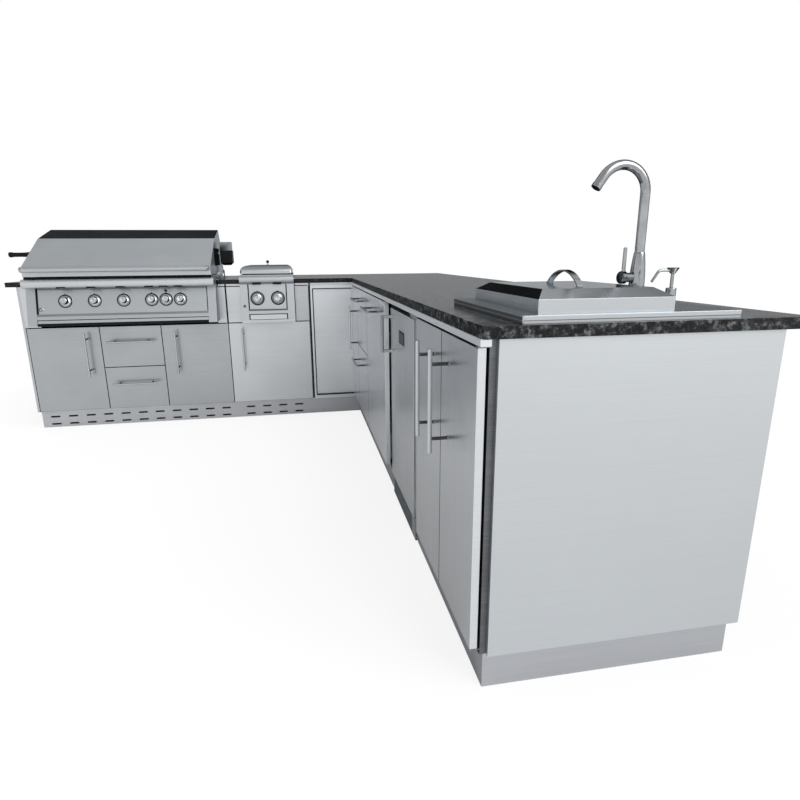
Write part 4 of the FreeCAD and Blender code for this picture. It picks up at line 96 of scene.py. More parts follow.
def add_node(tree: bpy.types.NodeTree, kind: str, inputs: Optional[dict[Union[str, int], Value]] = None,
             **settings: object) -> bpy.types.Node:
    """Adds a node with its settings, values and links.

    Args:
        tree: The node tree that takes the node.
        kind: The node's type name, without its ShaderNode prefix.
        inputs: A value or a linked socket for each input, by name or index.
        **settings: Properties of the node itself. stops sets a ramp's (place, colour) pairs.

    Returns:
        The new node.
    """
    node = tree.nodes.new("ShaderNode" + kind)
    for stop, (place, code) in enumerate(settings.pop("stops", ())):
        elements = node.color_ramp.elements
        element = elements[stop] if stop < len(elements) else elements.new(place)
        element.position = place
        element.color = linear(code)
    for name, value in settings.items():
        setattr(node, name, value)
    for name, value in (inputs or {}).items():
        if isinstance(value, bpy.types.NodeSocket):
            tree.links.new(value, node.inputs[name])
        else:
            node.inputs[name].default_value = value
    return node


@dataclass(frozen=True)
class Finish:
    """A surface finish, built once as a material of its own name."""

    name: str

    def build(self) -> bpy.types.Material:
        """Builds the material, or finds it if it was built before.

        Returns:
            The material.
        """
        known = bpy.data.materials.get(self.name)
        if known:
            return known
        material = bpy.data.materials.new(self.name)
        material.use_nodes = True
        tree = material.node_tree
        tree.nodes.clear()
        shader = add_node(tree, "BsdfPrincipled")
        add_node(tree, "OutputMaterial", {"Surface": shader.outputs["BSDF"]})
        self.dress(tree, shader)
        return material

    def dress(self, tree: bpy.types.NodeTree, shader: bpy.types.Node) -> None:
        """Sets the shader's sockets and adds the pattern. Each finish has its own."""
        raise NotImplementedError


@dataclass(frozen=True)
class BrushedSteel(Finish):
    """Austenitic stainless sheet, belt-brushed one way, so it shines softly across the grain."""

    colour: str = "#BEC2C5"
    shade: str = "#B8BCBF"
    roughness: float = 0.32
    grain: Grain = Grain.X
    line: float = 2.4
    stroke: float = 420.0
    cloud: float = 260.0
    spread: float = 0.05
    relief: float = 0.03
    edge: str = "#C8CACC"

    def dress(self, tree: bpy.types.NodeTree, shader: bpy.types.Node) -> None:
        """Brush lines, drawn at 2.4 mm where real ones are 0.1 mm, over slow cloudy handling marks."""
        coords = add_node(tree, "TexCoord").outputs["Object"]
        scale = [per_metre(self.line)] * 3
        scale[self.grain.value] = per_metre(self.stroke)
        across = add_node(tree, "Mapping", {"Vector": coords, "Scale": scale}).outputs["Vector"]
        lines = add_node(tree, "TexNoise", {"Vector": across, "Scale": 1.0, "Detail": 2.0}).outputs[0]
        cloud = add_node(tree, "TexNoise", {"Vector": coords, "Scale": per_metre(self.cloud),
                                            "Detail": 3.0}).outputs[0]
        mixed = add_node(tree, "Math", {0: lines, 1: 0.55}, operation="MULTIPLY").outputs[0]
        mixed = add_node(tree, "Math", {0: cloud, 1: 0.45, 2: mixed}, operation="MULTIPLY_ADD").outputs[0]
        tone = add_node(tree, "ValToRGB", {"Fac": mixed}, stops=((0.38, self.shade), (0.62, self.colour)))
        tree.links.new(tone.outputs["Color"], shader.inputs["Base Color"])
        rough = add_node(tree, "MapRange", {"Value": mixed, "From Min": 0.35, "From Max": 0.65,
                                            "To Min": self.roughness + self.spread,
                                            "To Max": self.roughness - self.spread})
        tree.links.new(rough.outputs["Result"], shader.inputs["Roughness"])
        bump = add_node(tree, "Bump", {"Height": lines, "Strength": self.relief, "Distance": 0.2 * MM})
        tree.links.new(bump.outputs["Normal"], shader.inputs["Normal"])
        shader.inputs["Metallic"].default_value = 1.0
        shader.inputs["Specular Tint"].default_value = linear(self.edge)


@dataclass(frozen=True)
class PolishedMetal(Finish):
    """Plated or buffed metal with a mirror face, broken only by fine wiping scratches."""

    colour: str = "#B9BCBF"
    shade: str = "#ABAEB1"
    roughness: float = 0.09
    scratch: float = 3.0
    edge: str = "#5A5C5E"

    def dress(self, tree: bpy.types.NodeTree, shader: bpy.types.Node) -> None:
        """Hairline scratches, drawn at 3 mm where real ones are 0.05 mm, and faint water haze."""
        coords = add_node(tree, "TexCoord").outputs["Object"]
        fine = add_node(tree, "TexNoise", {"Vector": coords, "Scale": per_metre(self.scratch),
                                           "Detail": 4.0}).outputs[0]
        haze = add_node(tree, "TexNoise", {"Vector": coords, "Scale": per_metre(self.scratch * 12),
                                           "Detail": 2.0}).outputs[0]
        tone = add_node(tree, "ValToRGB", {"Fac": haze}, stops=((0.35, self.shade), (0.6, self.colour)))
        tree.links.new(tone.outputs["Color"], shader.inputs["Base Color"])
        both = add_node(tree, "Math", {0: fine, 1: haze}, operation="MULTIPLY").outputs[0]
        rough = add_node(tree, "MapRange", {"Value": both, "From Min": 0.1, "From Max": 0.5,
                                            "To Min": self.roughness * 0.7, "To Max": self.roughness * 1.8})
        tree.links.new(rough.outputs["Result"], shader.inputs["Roughness"])
        shader.inputs["Metallic"].default_value = 1.0
        shader.inputs["Specular Tint"].default_value = linear(self.edge)


@dataclass(frozen=True)
class Granite(Finish):
    """Polished black granite: near-black felspar with grey mica clouds and a few bright crystals."""

    ground: str = "#060607"
    cloud: str = "#242628"
    fleck: str = "#64686B"
    roughness: float = 0.2
    cloud_size: float = 22.0
    fleck_size: float = 9.0
    crystal_size: float = 4.0
    gloss: float = 0.22

    def dress(self, tree: bpy.types.NodeTree, shader: bpy.types.Node) -> None:
        """Clouds of 22 mm hold flecks of 9 mm, as in a coarse black stone, with 4 mm crystals."""
        coords = add_node(tree, "TexCoord").outputs["Object"]
        cloud = add_node(tree, "TexNoise", {"Vector": coords, "Scale": per_metre(self.cloud_size),
                                            "Detail": 5.0, "Roughness": 0.62}).outputs[0]
        fleck = add_node(tree, "TexNoise", {"Vector": coords, "Scale": per_metre(self.fleck_size),
                                            "Detail": 3.0, "Roughness": 0.7}).outputs[0]
        both = add_node(tree, "Math", {0: cloud, 1: fleck}, operation="MULTIPLY").outputs[0]
        tone = add_node(tree, "ValToRGB", {"Fac": both},
                        stops=((0.2, self.ground), (0.27, self.cloud), (0.37, self.fleck)))
        cells = add_node(tree, "TexVoronoi", {"Vector": coords, "Scale": per_metre(self.crystal_size)})
        bright = add_node(tree, "MapRange", {"Value": cells.outputs["Distance"], "From Min": 0.16,
                                             "From Max": 0.06, "To Min": 0.0, "To Max": 0.5})
        mixed = add_node(tree, "Mix", {0: bright.outputs["Result"], 6: tone.outputs["Color"],
                                       7: linear(self.fleck)}, data_type="RGBA")
        tree.links.new(mixed.outputs[2], shader.inputs["Base Color"])
        rough = add_node(tree, "MapRange", {"Value": fleck, "From Min": 0.3, "From Max": 0.7,
                                            "To Min": self.roughness, "To Max": self.roughness + 0.08})
        tree.links.new(rough.outputs["Result"], shader.inputs["Roughness"])
        shader.inputs["IOR"].default_value = 1.53
        shader.inputs["Specular IOR Level"].default_value = self.gloss


@dataclass(frozen=True)
class Grained(Finish):
    """Moulded, painted, cast or rubber surfaces: one colour with a fine even grain."""

    colour: str = "#1B1C1E"
    shade: str = "#141517"
    roughness: float = 0.5
    grain: float = 3.0
    relief: float = 0.15
    depth: float = 0.15
    metallic: float = 0.0
    ior: float = 1.5
    gloss: float = 0.5

    def dress(self, tree: bpy.types.NodeTree, shader: bpy.types.Node) -> None:
        """The grain is drawn no finer than 3 mm, so that it shows, over a slow change of shade."""
        coords = add_node(tree, "TexCoord").outputs["Object"]
        grain = add_node(tree, "TexNoise", {"Vector": coords, "Scale": per_metre(self.grain),
                                            "Detail": 3.0}).outputs[0]
        slow = add_node(tree, "TexNoise", {"Vector": coords, "Scale": per_metre(self.grain * 30),
                                           "Detail": 2.0}).outputs[0]
        both = add_node(tree, "Math", {0: grain, 1: 0.5}, operation="MULTIPLY").outputs[0]
        both = add_node(tree, "Math", {0: slow, 1: 0.5, 2: both}, operation="MULTIPLY_ADD").outputs[0]
        tone = add_node(tree, "ValToRGB", {"Fac": both}, stops=((0.35, self.shade), (0.65, self.colour)))
        tree.links.new(tone.outputs["Color"], shader.inputs["Base Color"])
        rough = add_node(tree, "MapRange", {"Value": both, "From Min": 0.3, "From Max": 0.7,
                                            "To Min": self.roughness * 0.85, "To Max": self.roughness * 1.15})
        tree.links.new(rough.outputs["Result"], shader.inputs["Roughness"])
        bump = add_node(tree, "Bump", {"Height": grain, "Strength": self.relief,
                                       "Distance": self.depth * MM})
        tree.links.new(bump.outputs["Normal"], shader.inputs["Normal"])
        shader.inputs["Metallic"].default_value = self.metallic
        if not self.metallic:
            shader.inputs["IOR"].default_value = self.ior
            shader.inputs["Specular IOR Level"].default_value = self.gloss


@dataclass(frozen=True)
class ClearGlass(Finish):
    """Tempered float glass with the green cast that its iron gives it."""

    colour: str = "#DCEBE4"

    def dress(self, tree: bpy.types.NodeTree, shader: bpy.types.Node) -> None:
        """Faint waviness of 60 mm, as rolled sheet has."""
        coords = add_node(tree, "TexCoord").outputs["Object"]
        wave = add_node(tree, "TexNoise", {"Vector": coords, "Scale": per_metre(60.0)}).outputs[0]
        rough = add_node(tree, "MapRange", {"Value": wave, "To Min": 0.02, "To Max": 0.07})
        tree.links.new(rough.outputs["Result"], shader.inputs["Roughness"])
        shader.inputs["Base Color"].default_value = linear(self.colour)
        shader.inputs["Transmission Weight"].default_value = 0.92
        shader.inputs["IOR"].default_value = 1.52


STEEL_X = BrushedSteel("stainless_brushed_along_x", grain=Grain.X)
STEEL_Y = BrushedSteel("stainless_brushed_along_y", grain=Grain.Y)
STEEL_Z = BrushedSteel("stainless_brushed_upright", grain=Grain.Z)
# A paler copy of the brushed steel, painted light: the near end panel, the grill's shelf and bezels.
STEEL_PALE_PAINTED_LIGHT = BrushedSteel("stainless_pale_painted_light", colour="#CACED1", shade="#C7CBCE", roughness=0.4, spread=0.02,
                         relief=0.01)
STEEL_PLINTH = BrushedSteel("stainless_plinth_matt", colour="#BEC0C4", shade="#B8BABE", roughness=0.42)
COVER_STEEL = BrushedSteel("stainless_cover_satin", colour="#C9CDD0", shade="#C4C8CB", roughness=0.17,
                           spread=0.03)
# Dark dull steel: heat-dulled on the flame tamers and dark on small parts; painted shade on the sink's stile, the
# deck's sides away from the light, the pillars' sides and the side fascia's grooves.
STEEL_DARK_AND_SHADE = BrushedSteel("stainless_dulled_and_painted_shade", colour="#77797B", shade="#646668", roughness=0.45)
# Grey steel strips and rings: painted shade in the fascias' grooves, under the shelf and on the side burner's bezels.
STEEL_GREY_SHADE = BrushedSteel("stainless_grey_painted_shade", colour="#8F9294", shade="#7F8284", roughness=0.45)
STEEL_SATIN = BrushedSteel("stainless_satin_bar", colour="#C4C8CB", shade="#B4B8BB", roughness=0.24,
                           grain=Grain.Z, line=3.0)
# A paler copy of the upright steel with a white edge tint: painted light on the fronts of the run in shade.
STEEL_UPRIGHT_PAINTED_LIGHT = BrushedSteel("stainless_upright_painted_light", colour="#D4D7DA", shade="#CED1D4", roughness=0.3,
                              grain=Grain.Z, relief=0.015, edge="#FFFFFF")
# The palest copy of the steel with a white edge tint: painted light on the rail of the run in shade.
STEEL_RAIL_PAINTED_LIGHT = BrushedSteel("stainless_rail_along_y_painted_light", colour="#E6E9EC", shade="#E0E3E6", grain=Grain.Y,
                          edge="#FFFFFF")
# A pale copy of the steel: a painted highlight on the near folded edges that show.
STEEL_EDGE_PAINTED_LIGHT = BrushedSteel("stainless_folded_edge_painted_light", colour="#DCDFE2", shade="#D6D9DC", roughness=0.35)
# A paler copy of the steel, painted light: filler plates, the burner's door, the side fascia's apron and sill.
STEEL_PLATE_PAINTED_LIGHT = BrushedSteel("stainless_filler_plate_painted_light", colour="#CCCFD2", shade="#C6C9CC", roughness=0.34)
# A darker copy of the steel: painted shade on the grill's doors and drawers.
GRILL_DOOR_STEEL_SHADED = BrushedSteel("stainless_grill_fronts_painted_shade", colour="#AEB2B5", shade="#A8ACAF")
# A paler copy of the steel: painted light on the corner panel.
STEEL_CORNER_PAINTED_LIGHT = BrushedSteel("stainless_corner_painted_light", colour="#DADDE0", shade="#D3D6D9", roughness=0.36)
# A darker copy of the steel: painted shade on the side burner's lid.
LID_STEEL_SHADED = BrushedSteel("stainless_small_lid_painted_shade", colour="#9DA1A4", shade="#969A9D", roughness=0.3)
SINK_DOOR_STEEL = BrushedSteel("stainless_sink_doors", colour="#BFC2C5", shade="#B9BCBF", grain=Grain.Z,
                               edge="#FFFFFF")
# The hood's top fold: buffed to a low roughness, and a darker copy of the steel as a painted dark reflection.
HOOD_TOP_PAINTED_DARK = BrushedSteel("stainless_hood_top_painted_dark", colour="#AEB2B5", shade="#A6AAAD", roughness=0.12,
                        spread=0.03)
CHROME = PolishedMetal("chrome_plate")
DARK_CHROME = PolishedMetal("black_chrome", colour="#55585B", shade="#484B4E", roughness=0.22)
SATIN_CAP = PolishedMetal("satin_chrome_cap", colour="#D3D6D9", shade="#C6C9CC", roughness=0.3)
# A darker copy of the chrome: painted shade on the faucet, its lever and the soap pump.
FAUCET_CHROME_SHADED = PolishedMetal("faucet_chrome_painted_shade", colour="#A6A9AC", shade="#979A9D", roughness=0.13)
BRIGHT = PolishedMetal("buffed_stainless", colour="#C2C6C9", shade="#B2B6B9", roughness=0.16)
BRASS = PolishedMetal("machined_brass", colour="#D1A85C", shade="#B98C43", roughness=0.25)
ZINC = Grained("zinc_plated_steel", "#A9ADB2", "#8F9398", 0.35, 4.0, 0.05, 0.05, 1.0)
GRANITE = Granite("black_granite_polished")
GRANITE_PLAIN = Granite("black_granite_plain_slab", cloud="#0E0F10", fleck="#333537")
GRANITE_EDGE = Granite("black_granite_honed_edge", roughness=0.5, gloss=0.03)
BOARD = Grained("powder_coated_carcass", "#151618", "#101113", 0.6, 3.0, 0.2, 0.1, gloss=0.25)
# Black nylon for the black parts; also painted shade behind the vent slots, at the drip tray's foot, in the lamp
# blocks under the shelves and in the vent above the fridge door.
BLACK_NYLON_AND_SHADE = Grained("glass_filled_nylon_and_painted_shade", "#101112", "#0B0C0D", 0.45, 3.0, 0.2, 0.1, gloss=0.16)
RUBBER = Grained("black_rubber", "#121213", "#0C0C0D", 0.75, 4.0, 0.2, 0.1, gloss=0.12)
# Black vinyl for the fridge's gasket; also painted shade on the fronts' rims and sides, in the cabinets' joints and
# at the fascias' edges and trims.
BLACK_SEAL_AND_SHADE = Grained("black_vinyl_seal_and_painted_shade", "#161718", "#101112", 0.6, 4.0, 0.1, 0.1, gloss=0.15)
CAST_IRON = Grained("enamelled_cast_iron", "#1F1F20", "#131314", 0.4, 3.0, 0.5, 0.3)
# Near-black: painted shade round the spit's slot.
SLOT_SHADE = Grained("painted_slot_shade", "#0E0E0F", "#0A0A0B", 0.8, 3.0, 0.1, 0.1, gloss=0.02)
MOTOR_GREY = Grained("painted_motor_cap", "#8F9396", "#83878A", 0.45, 3.0, 0.1, 0.1)
BOTTLE = Grained("polyethylene_bottle", "#E4E5E2", "#D8D9D6", 0.45, 5.0, 0.05, 0.1)
SILICONE = Grained("clear_grey_silicone", "#5C5F62", "#4E5154", 0.35, 5.0, 0.05, 0.1, 0.0, 1.41)
WHITE_LINER = Grained("white_fridge_liner", "#E3E5E6", "#DADCDD", 0.35, 6.0, 0.05, 0.1)


class Workpiece:
    """A piece in the making: a bmesh in millimetres that takes shapes one by one."""

    def __init__(self) -> None:
        """Starts an empty piece."""
        self.bm = bmesh.new()
        self.done = self.bm.faces.layers.int.new("done")
        self.finishes: list[Finish] = []

    def _paint(self, finish: Finish) -> None:
        """Gives a finish to the faces that have none yet."""
        if finish not in self.finishes:
            self.finishes.append(finish)
        index = self.finishes.index(finish)
        for face in self._fresh():
            face.material_index = index
            face[self.done] = 1

    def _fresh(self) -> list[bmesh.types.BMFace]:
        """The faces that have no finish yet."""
        return [face for face in self.bm.faces if not face[self.done]]

    def repaint(self, finish: Finish, chosen: Callable[[Vector, Vector], bool]) -> None:
        """Gives another finish to some faces.

        Args:
            finish: The finish.
            chosen: Tells from a face's middle and normal whether it takes the finish.
        """
        if finish not in self.finishes:
            self.finishes.append(finish)
        index = self.finishes.index(finish)
        self.bm.normal_update()
        for face in self.bm.faces:
            if chosen(face.calc_center_median(), face.normal):
                face.material_index = index

    def cut(self, point: Point, normal: Point) -> None:
        """Cuts every face that a plane crosses, so that its two sides can differ in finish.

        Args:
            point: A point of the plane.
            normal: The plane's direction.
        """
        geometry = list(self.bm.verts) + list(self.bm.edges) + list(self.bm.faces)
        bmesh.ops.bisect_plane(self.bm, geom=geometry, plane_co=point, plane_no=normal, dist=0.001)

    def _ease(self, verts: Iterable[bmesh.types.BMVert], width: float, segments: int,
              angle: float = 40.0) -> None:
        """Rounds the sharp edges between these vertices."""
        chosen = set(verts)
        edges = [e for e in self.bm.edges if e.verts[0] in chosen and e.verts[1] in chosen
                 and len(e.link_faces) == 2 and e.calc_face_angle(0.0) > math.radians(angle)]
        if edges and width > 0:
            bmesh.ops.bevel(self.bm, geom=edges, offset=width, segments=segments, profile=0.5,
                            affect="EDGES", material=-1, clamp_overlap=True)

    def block(self, low: Point, high: Point, finish: Finish, ease: float = 0.8, segments: int = 2) -> None:
        """Adds a block with eased edges.

        Args:
            low: Its lowest corner.
            high: Its highest corner.
            finish: Its finish.
            ease: The radius of its edges.
            segments: How many facets round each edge has.
        """
        made = bmesh.ops.create_cube(self.bm, size=1.0)["verts"]
        size = [h - l for l, h in zip(low, high)]
        middle = [(h + l) / 2 for l, h in zip(low, high)]
        bmesh.ops.scale(self.bm, vec=size, verts=made)
        bmesh.ops.translate(self.bm, vec=middle, verts=made)
        self._ease(made, min(ease, min(size) * 0.45), segments)
        self._paint(finish)

    def bar(self, start: Point, end: Point, side: Point, width: float, depth: float, finish: Finish,
            ease: float = 0.3) -> None:
        """Adds a flat bar from one point to another.

        Args:
            start: The middle of its first end.
            end: The middle of its other end.
            side: The direction of its width.
            width: Its width.
            depth: Its thickness.
            finish: Its finish.
            ease: The radius of its edges.
        """
        line = Vector(end) - Vector(start)
        along = line.normalized()
        across = Vector(side).normalized()
        frame_axes = Matrix((across, along.cross(across) * -1, along)).transposed().to_4x4()
        size = Matrix.Diagonal((width, depth, line.length, 1.0))
        place = Matrix.Translation((Vector(start) + Vector(end)) / 2) @ frame_axes @ size
        made = bmesh.ops.create_cube(self.bm, size=1.0, matrix=place)["verts"]
        bmesh.ops.recalc_face_normals(self.bm, faces=self._fresh())
        self._ease(made, min(ease, width * 0.4, depth * 0.4), 1)
        self._paint(finish)

    def rod(self, start: Point, end: Point, radius: float, finish: Finish, far_radius: Optional[float] = None,
            ease: float = 0.6, sides: int = 32) -> None:
        """Adds a round bar or a cone from one point to another, with eased ends.

        Args:
            start: The middle of its first end.
            end: The middle of its other end.
            radius: Its radius at the first end.
            finish: Its finish.
            far_radius: Its radius at the other end, where that differs.
            ease: The radius of its end edges.
            sides: How many facets it has round it.
        """
        line = Vector(end) - Vector(start)
        turn = line.to_track_quat("Z", "Y").to_matrix().to_4x4()
        place = Matrix.Translation((Vector(start) + Vector(end)) / 2) @ turn
        made = bmesh.ops.create_cone(self.bm, cap_ends=True, segments=sides, radius1=radius,
                                     radius2=far_radius or radius, depth=line.length, matrix=place)["verts"]
        self._ease(made, min(ease, radius * 0.45, line.length * 0.45), 3, 50.0)
        self._paint(finish)

    def lathe(self, profile: Sequence[tuple[float, float]], origin: Point, axis: Point, finish: Finish,
              sides: int = 48) -> None:
        """Turns a profile round an axis.

        Args:
            profile: Pairs of radius and height along the axis, from one end to the other.
            origin: The point of the axis at height zero.
            axis: Its direction.
            finish: The turned part's finish.
            sides: How many steps the turn takes.
        """
        turn = Vector(axis).to_track_quat("Z", "Y").to_matrix().to_4x4()
        place = Matrix.Translation(origin) @ turn
        line = [self.bm.verts.new(place @ Vector((r, 0.0, z))) for r, z in profile]
        edges = [self.bm.edges.new(pair) for pair in zip(line[:-1], line[1:])]
        bmesh.ops.spin(self.bm, geom=line + edges, cent=origin, axis=Vector(axis).normalized(),
                       angle=ROUND, steps=sides, use_merge=True, use_duplicate=False)
        near = list({v for f in self._fresh() for v in f.verts})
        bmesh.ops.remove_doubles(self.bm, verts=near, dist=0.001)
        bmesh.ops.recalc_face_normals(self.bm, faces=self._fresh())
        self._paint(finish)

    def tube(self, path: Sequence[Point], radius: float, finish: Finish, sides: int = 24,
             tip_radius: Optional[float] = None) -> None:
        """Pushes a round section along a path and closes both ends.

        Args:
            path: The points of its middle line.
            radius: Its radius.
            finish: Its finish.
            sides: How many facets it has round it.
            tip_radius: Its radius at the last point, where it tapers.
        """
        points = [Vector(p) for p in path]
        last = len(points) - 1
        loop: list[bmesh.types.BMEdge] = []
        for i, point in enumerate(points):
            ahead = points[min(i + 1, last)] - points[max(i - 1, 0)]
            turn = ahead.to_track_quat("Z", "Y").to_matrix().to_4x4()
            share = i / last
            size = radius if tip_radius is None else radius + (tip_radius - radius) * share
            circle = bmesh.ops.create_circle(self.bm, cap_ends=i in (0, last), segments=sides, radius=size,
                                             matrix=Matrix.Translation(point) @ turn)["verts"]
            edges = list({e for v in circle for e in v.link_edges})
            if loop:
                bmesh.ops.bridge_loops(self.bm, edges=loop + edges)
            loop = edges
        bmesh.ops.recalc_face_normals(self.bm, faces=self._fresh())
        self._paint(finish)

    def node(self, name: str, pick: Callable[[Vector, Vector], Optional[Finish]], ease: float = 0.5,
             segments: int = 2, angle: float = 40.0) -> None:
        """Adds a copy of a model node with its edges eased, solid by solid.

        Args:
            name: The node.
            pick: Gives a solid's finish from its lowest and highest corner, or None to leave it out.
            ease: The radius of its edges.
            segments: How many facets round each edge has.
            angle: The least angle between two faces, in degrees, that makes an edge to ease.
        """
        copy = bmesh.new()
        copy.from_mesh(frame["nodes"][name].data)
        bmesh.ops.scale(copy, vec=(1 / MM,) * 3, verts=copy.verts)
        bmesh.ops.remove_doubles(copy, verts=copy.verts, dist=0.01)
        for solid in islands(copy):
            low = Vector(min(v.co[i] for v in solid) for i in range(3))
            high = Vector(max(v.co[i] for v in solid) for i in range(3))
            finish = pick(low, high)
            if finish is None:
                continue
            self._add_solid(solid, ease, segments, angle)
            self._paint(finish)
        copy.free()

    def _add_solid(self, solid: list[bmesh.types.BMVert], ease: float, segments: int,
                   angle: float) -> None:
        """Copies one solid's faces into the piece, joins its flat facets and eases its edges."""
        twin = {v: self.bm.verts.new(v.co) for v in solid}
        faces = {f for v in solid for f in v.link_faces}
        for face in sorted(faces, key=lambda f: f.index):
            self.bm.faces.new([twin[v] for v in face.verts])
        self.bm.normal_update()
        verts = list(twin.values())
        edges = list({e for v in verts for e in v.link_edges})
        bmesh.ops.dissolve_limit(self.bm, angle_limit=math.radians(0.4), verts=verts, edges=edges)
        self._ease([v for v in verts if v.is_valid], ease, segments, angle)

    def finish(self, name: str, body: str, slot: Optional[str] = None, replaces: Sequence[str] = (),
               crease: float = 32.0) -> bpy.types.Object:
        """Turns the piece into an object that rides on a body.

        Args:
            name: The object's name.
            body: The body that it rides on.
            slot: The record's slot; not used.
            replaces: The model nodes that it stands for.
            crease: The least angle between two faces, in degrees, that stays a sharp edge.

        Returns:
            The object.
        """
        bmesh.ops.scale(self.bm, vec=(MM,) * 3, verts=self.bm.verts)
        mesh = bpy.data.meshes.new(name)
        self.bm.to_mesh(mesh)
        self.bm.free()
        for finish in self.finishes:
            mesh.materials.append(finish.build())
        mesh.shade_smooth()
        mesh.set_sharp_from_angle(angle=math.radians(crease))
        piece = bpy.data.objects.new(name, mesh)
        bpy.context.scene.collection.objects.link(piece)
        flat = piece.modifiers.new("flat_faces_stay_flat", "WEIGHTED_NORMAL")
        flat.keep_sharp = True
        flat.weight = 80
        if replaces:
            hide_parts(*replaces)
        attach(piece, body)
        log.info("%s: %d faces on %s", name, len(mesh.polygons), body)
        return piece


def islands(mesh: bmesh.types.BMesh) -> list[list[bmesh.types.BMVert]]:
    """Splits a mesh into its separate solids.

    Args:
        mesh: The mesh.

    Returns:
        The vertices of each solid.
    """
    mesh.verts.index_update()
    mesh.faces.index_update()
    seen: set[bmesh.types.BMVert] = set()
    found = []
    for start in mesh.verts:
        if start in seen or not start.link_faces:
            continue
        seen.add(start)
        stack = [start]
        solid = []
        while stack:
            vert = stack.pop()
            solid.append(vert)
            for edge in vert.link_edges:
                other = edge.other_vert(vert)
                if other not in seen:
                    seen.add(other)
                    stack.append(other)
        found.append(solid)
    return found


def always(finish: Finish) -> Callable[[Vector, Vector], Finish]:
    """A choice that gives every solid the same finish."""
    return lambda low, high: finish


def paint_nodes(finishes: dict[str, Finish]) -> None:
    """Gives model nodes that keep their mesh a finish in place of their plain one.

    Args:
        finishes: The finish of each node, by name.
    """
    for name, finish in finishes.items():
        data = frame["nodes"][name].data
        data.materials.clear()
        data.materials.append(finish.build())
        log.info("%s: keeps its mesh, %s", name, finish.name)


def joint(name: str) -> dict:
    """Finds a joint of the model by name."""
    return next(j for j in frame["joints"] if j["name"] == name)


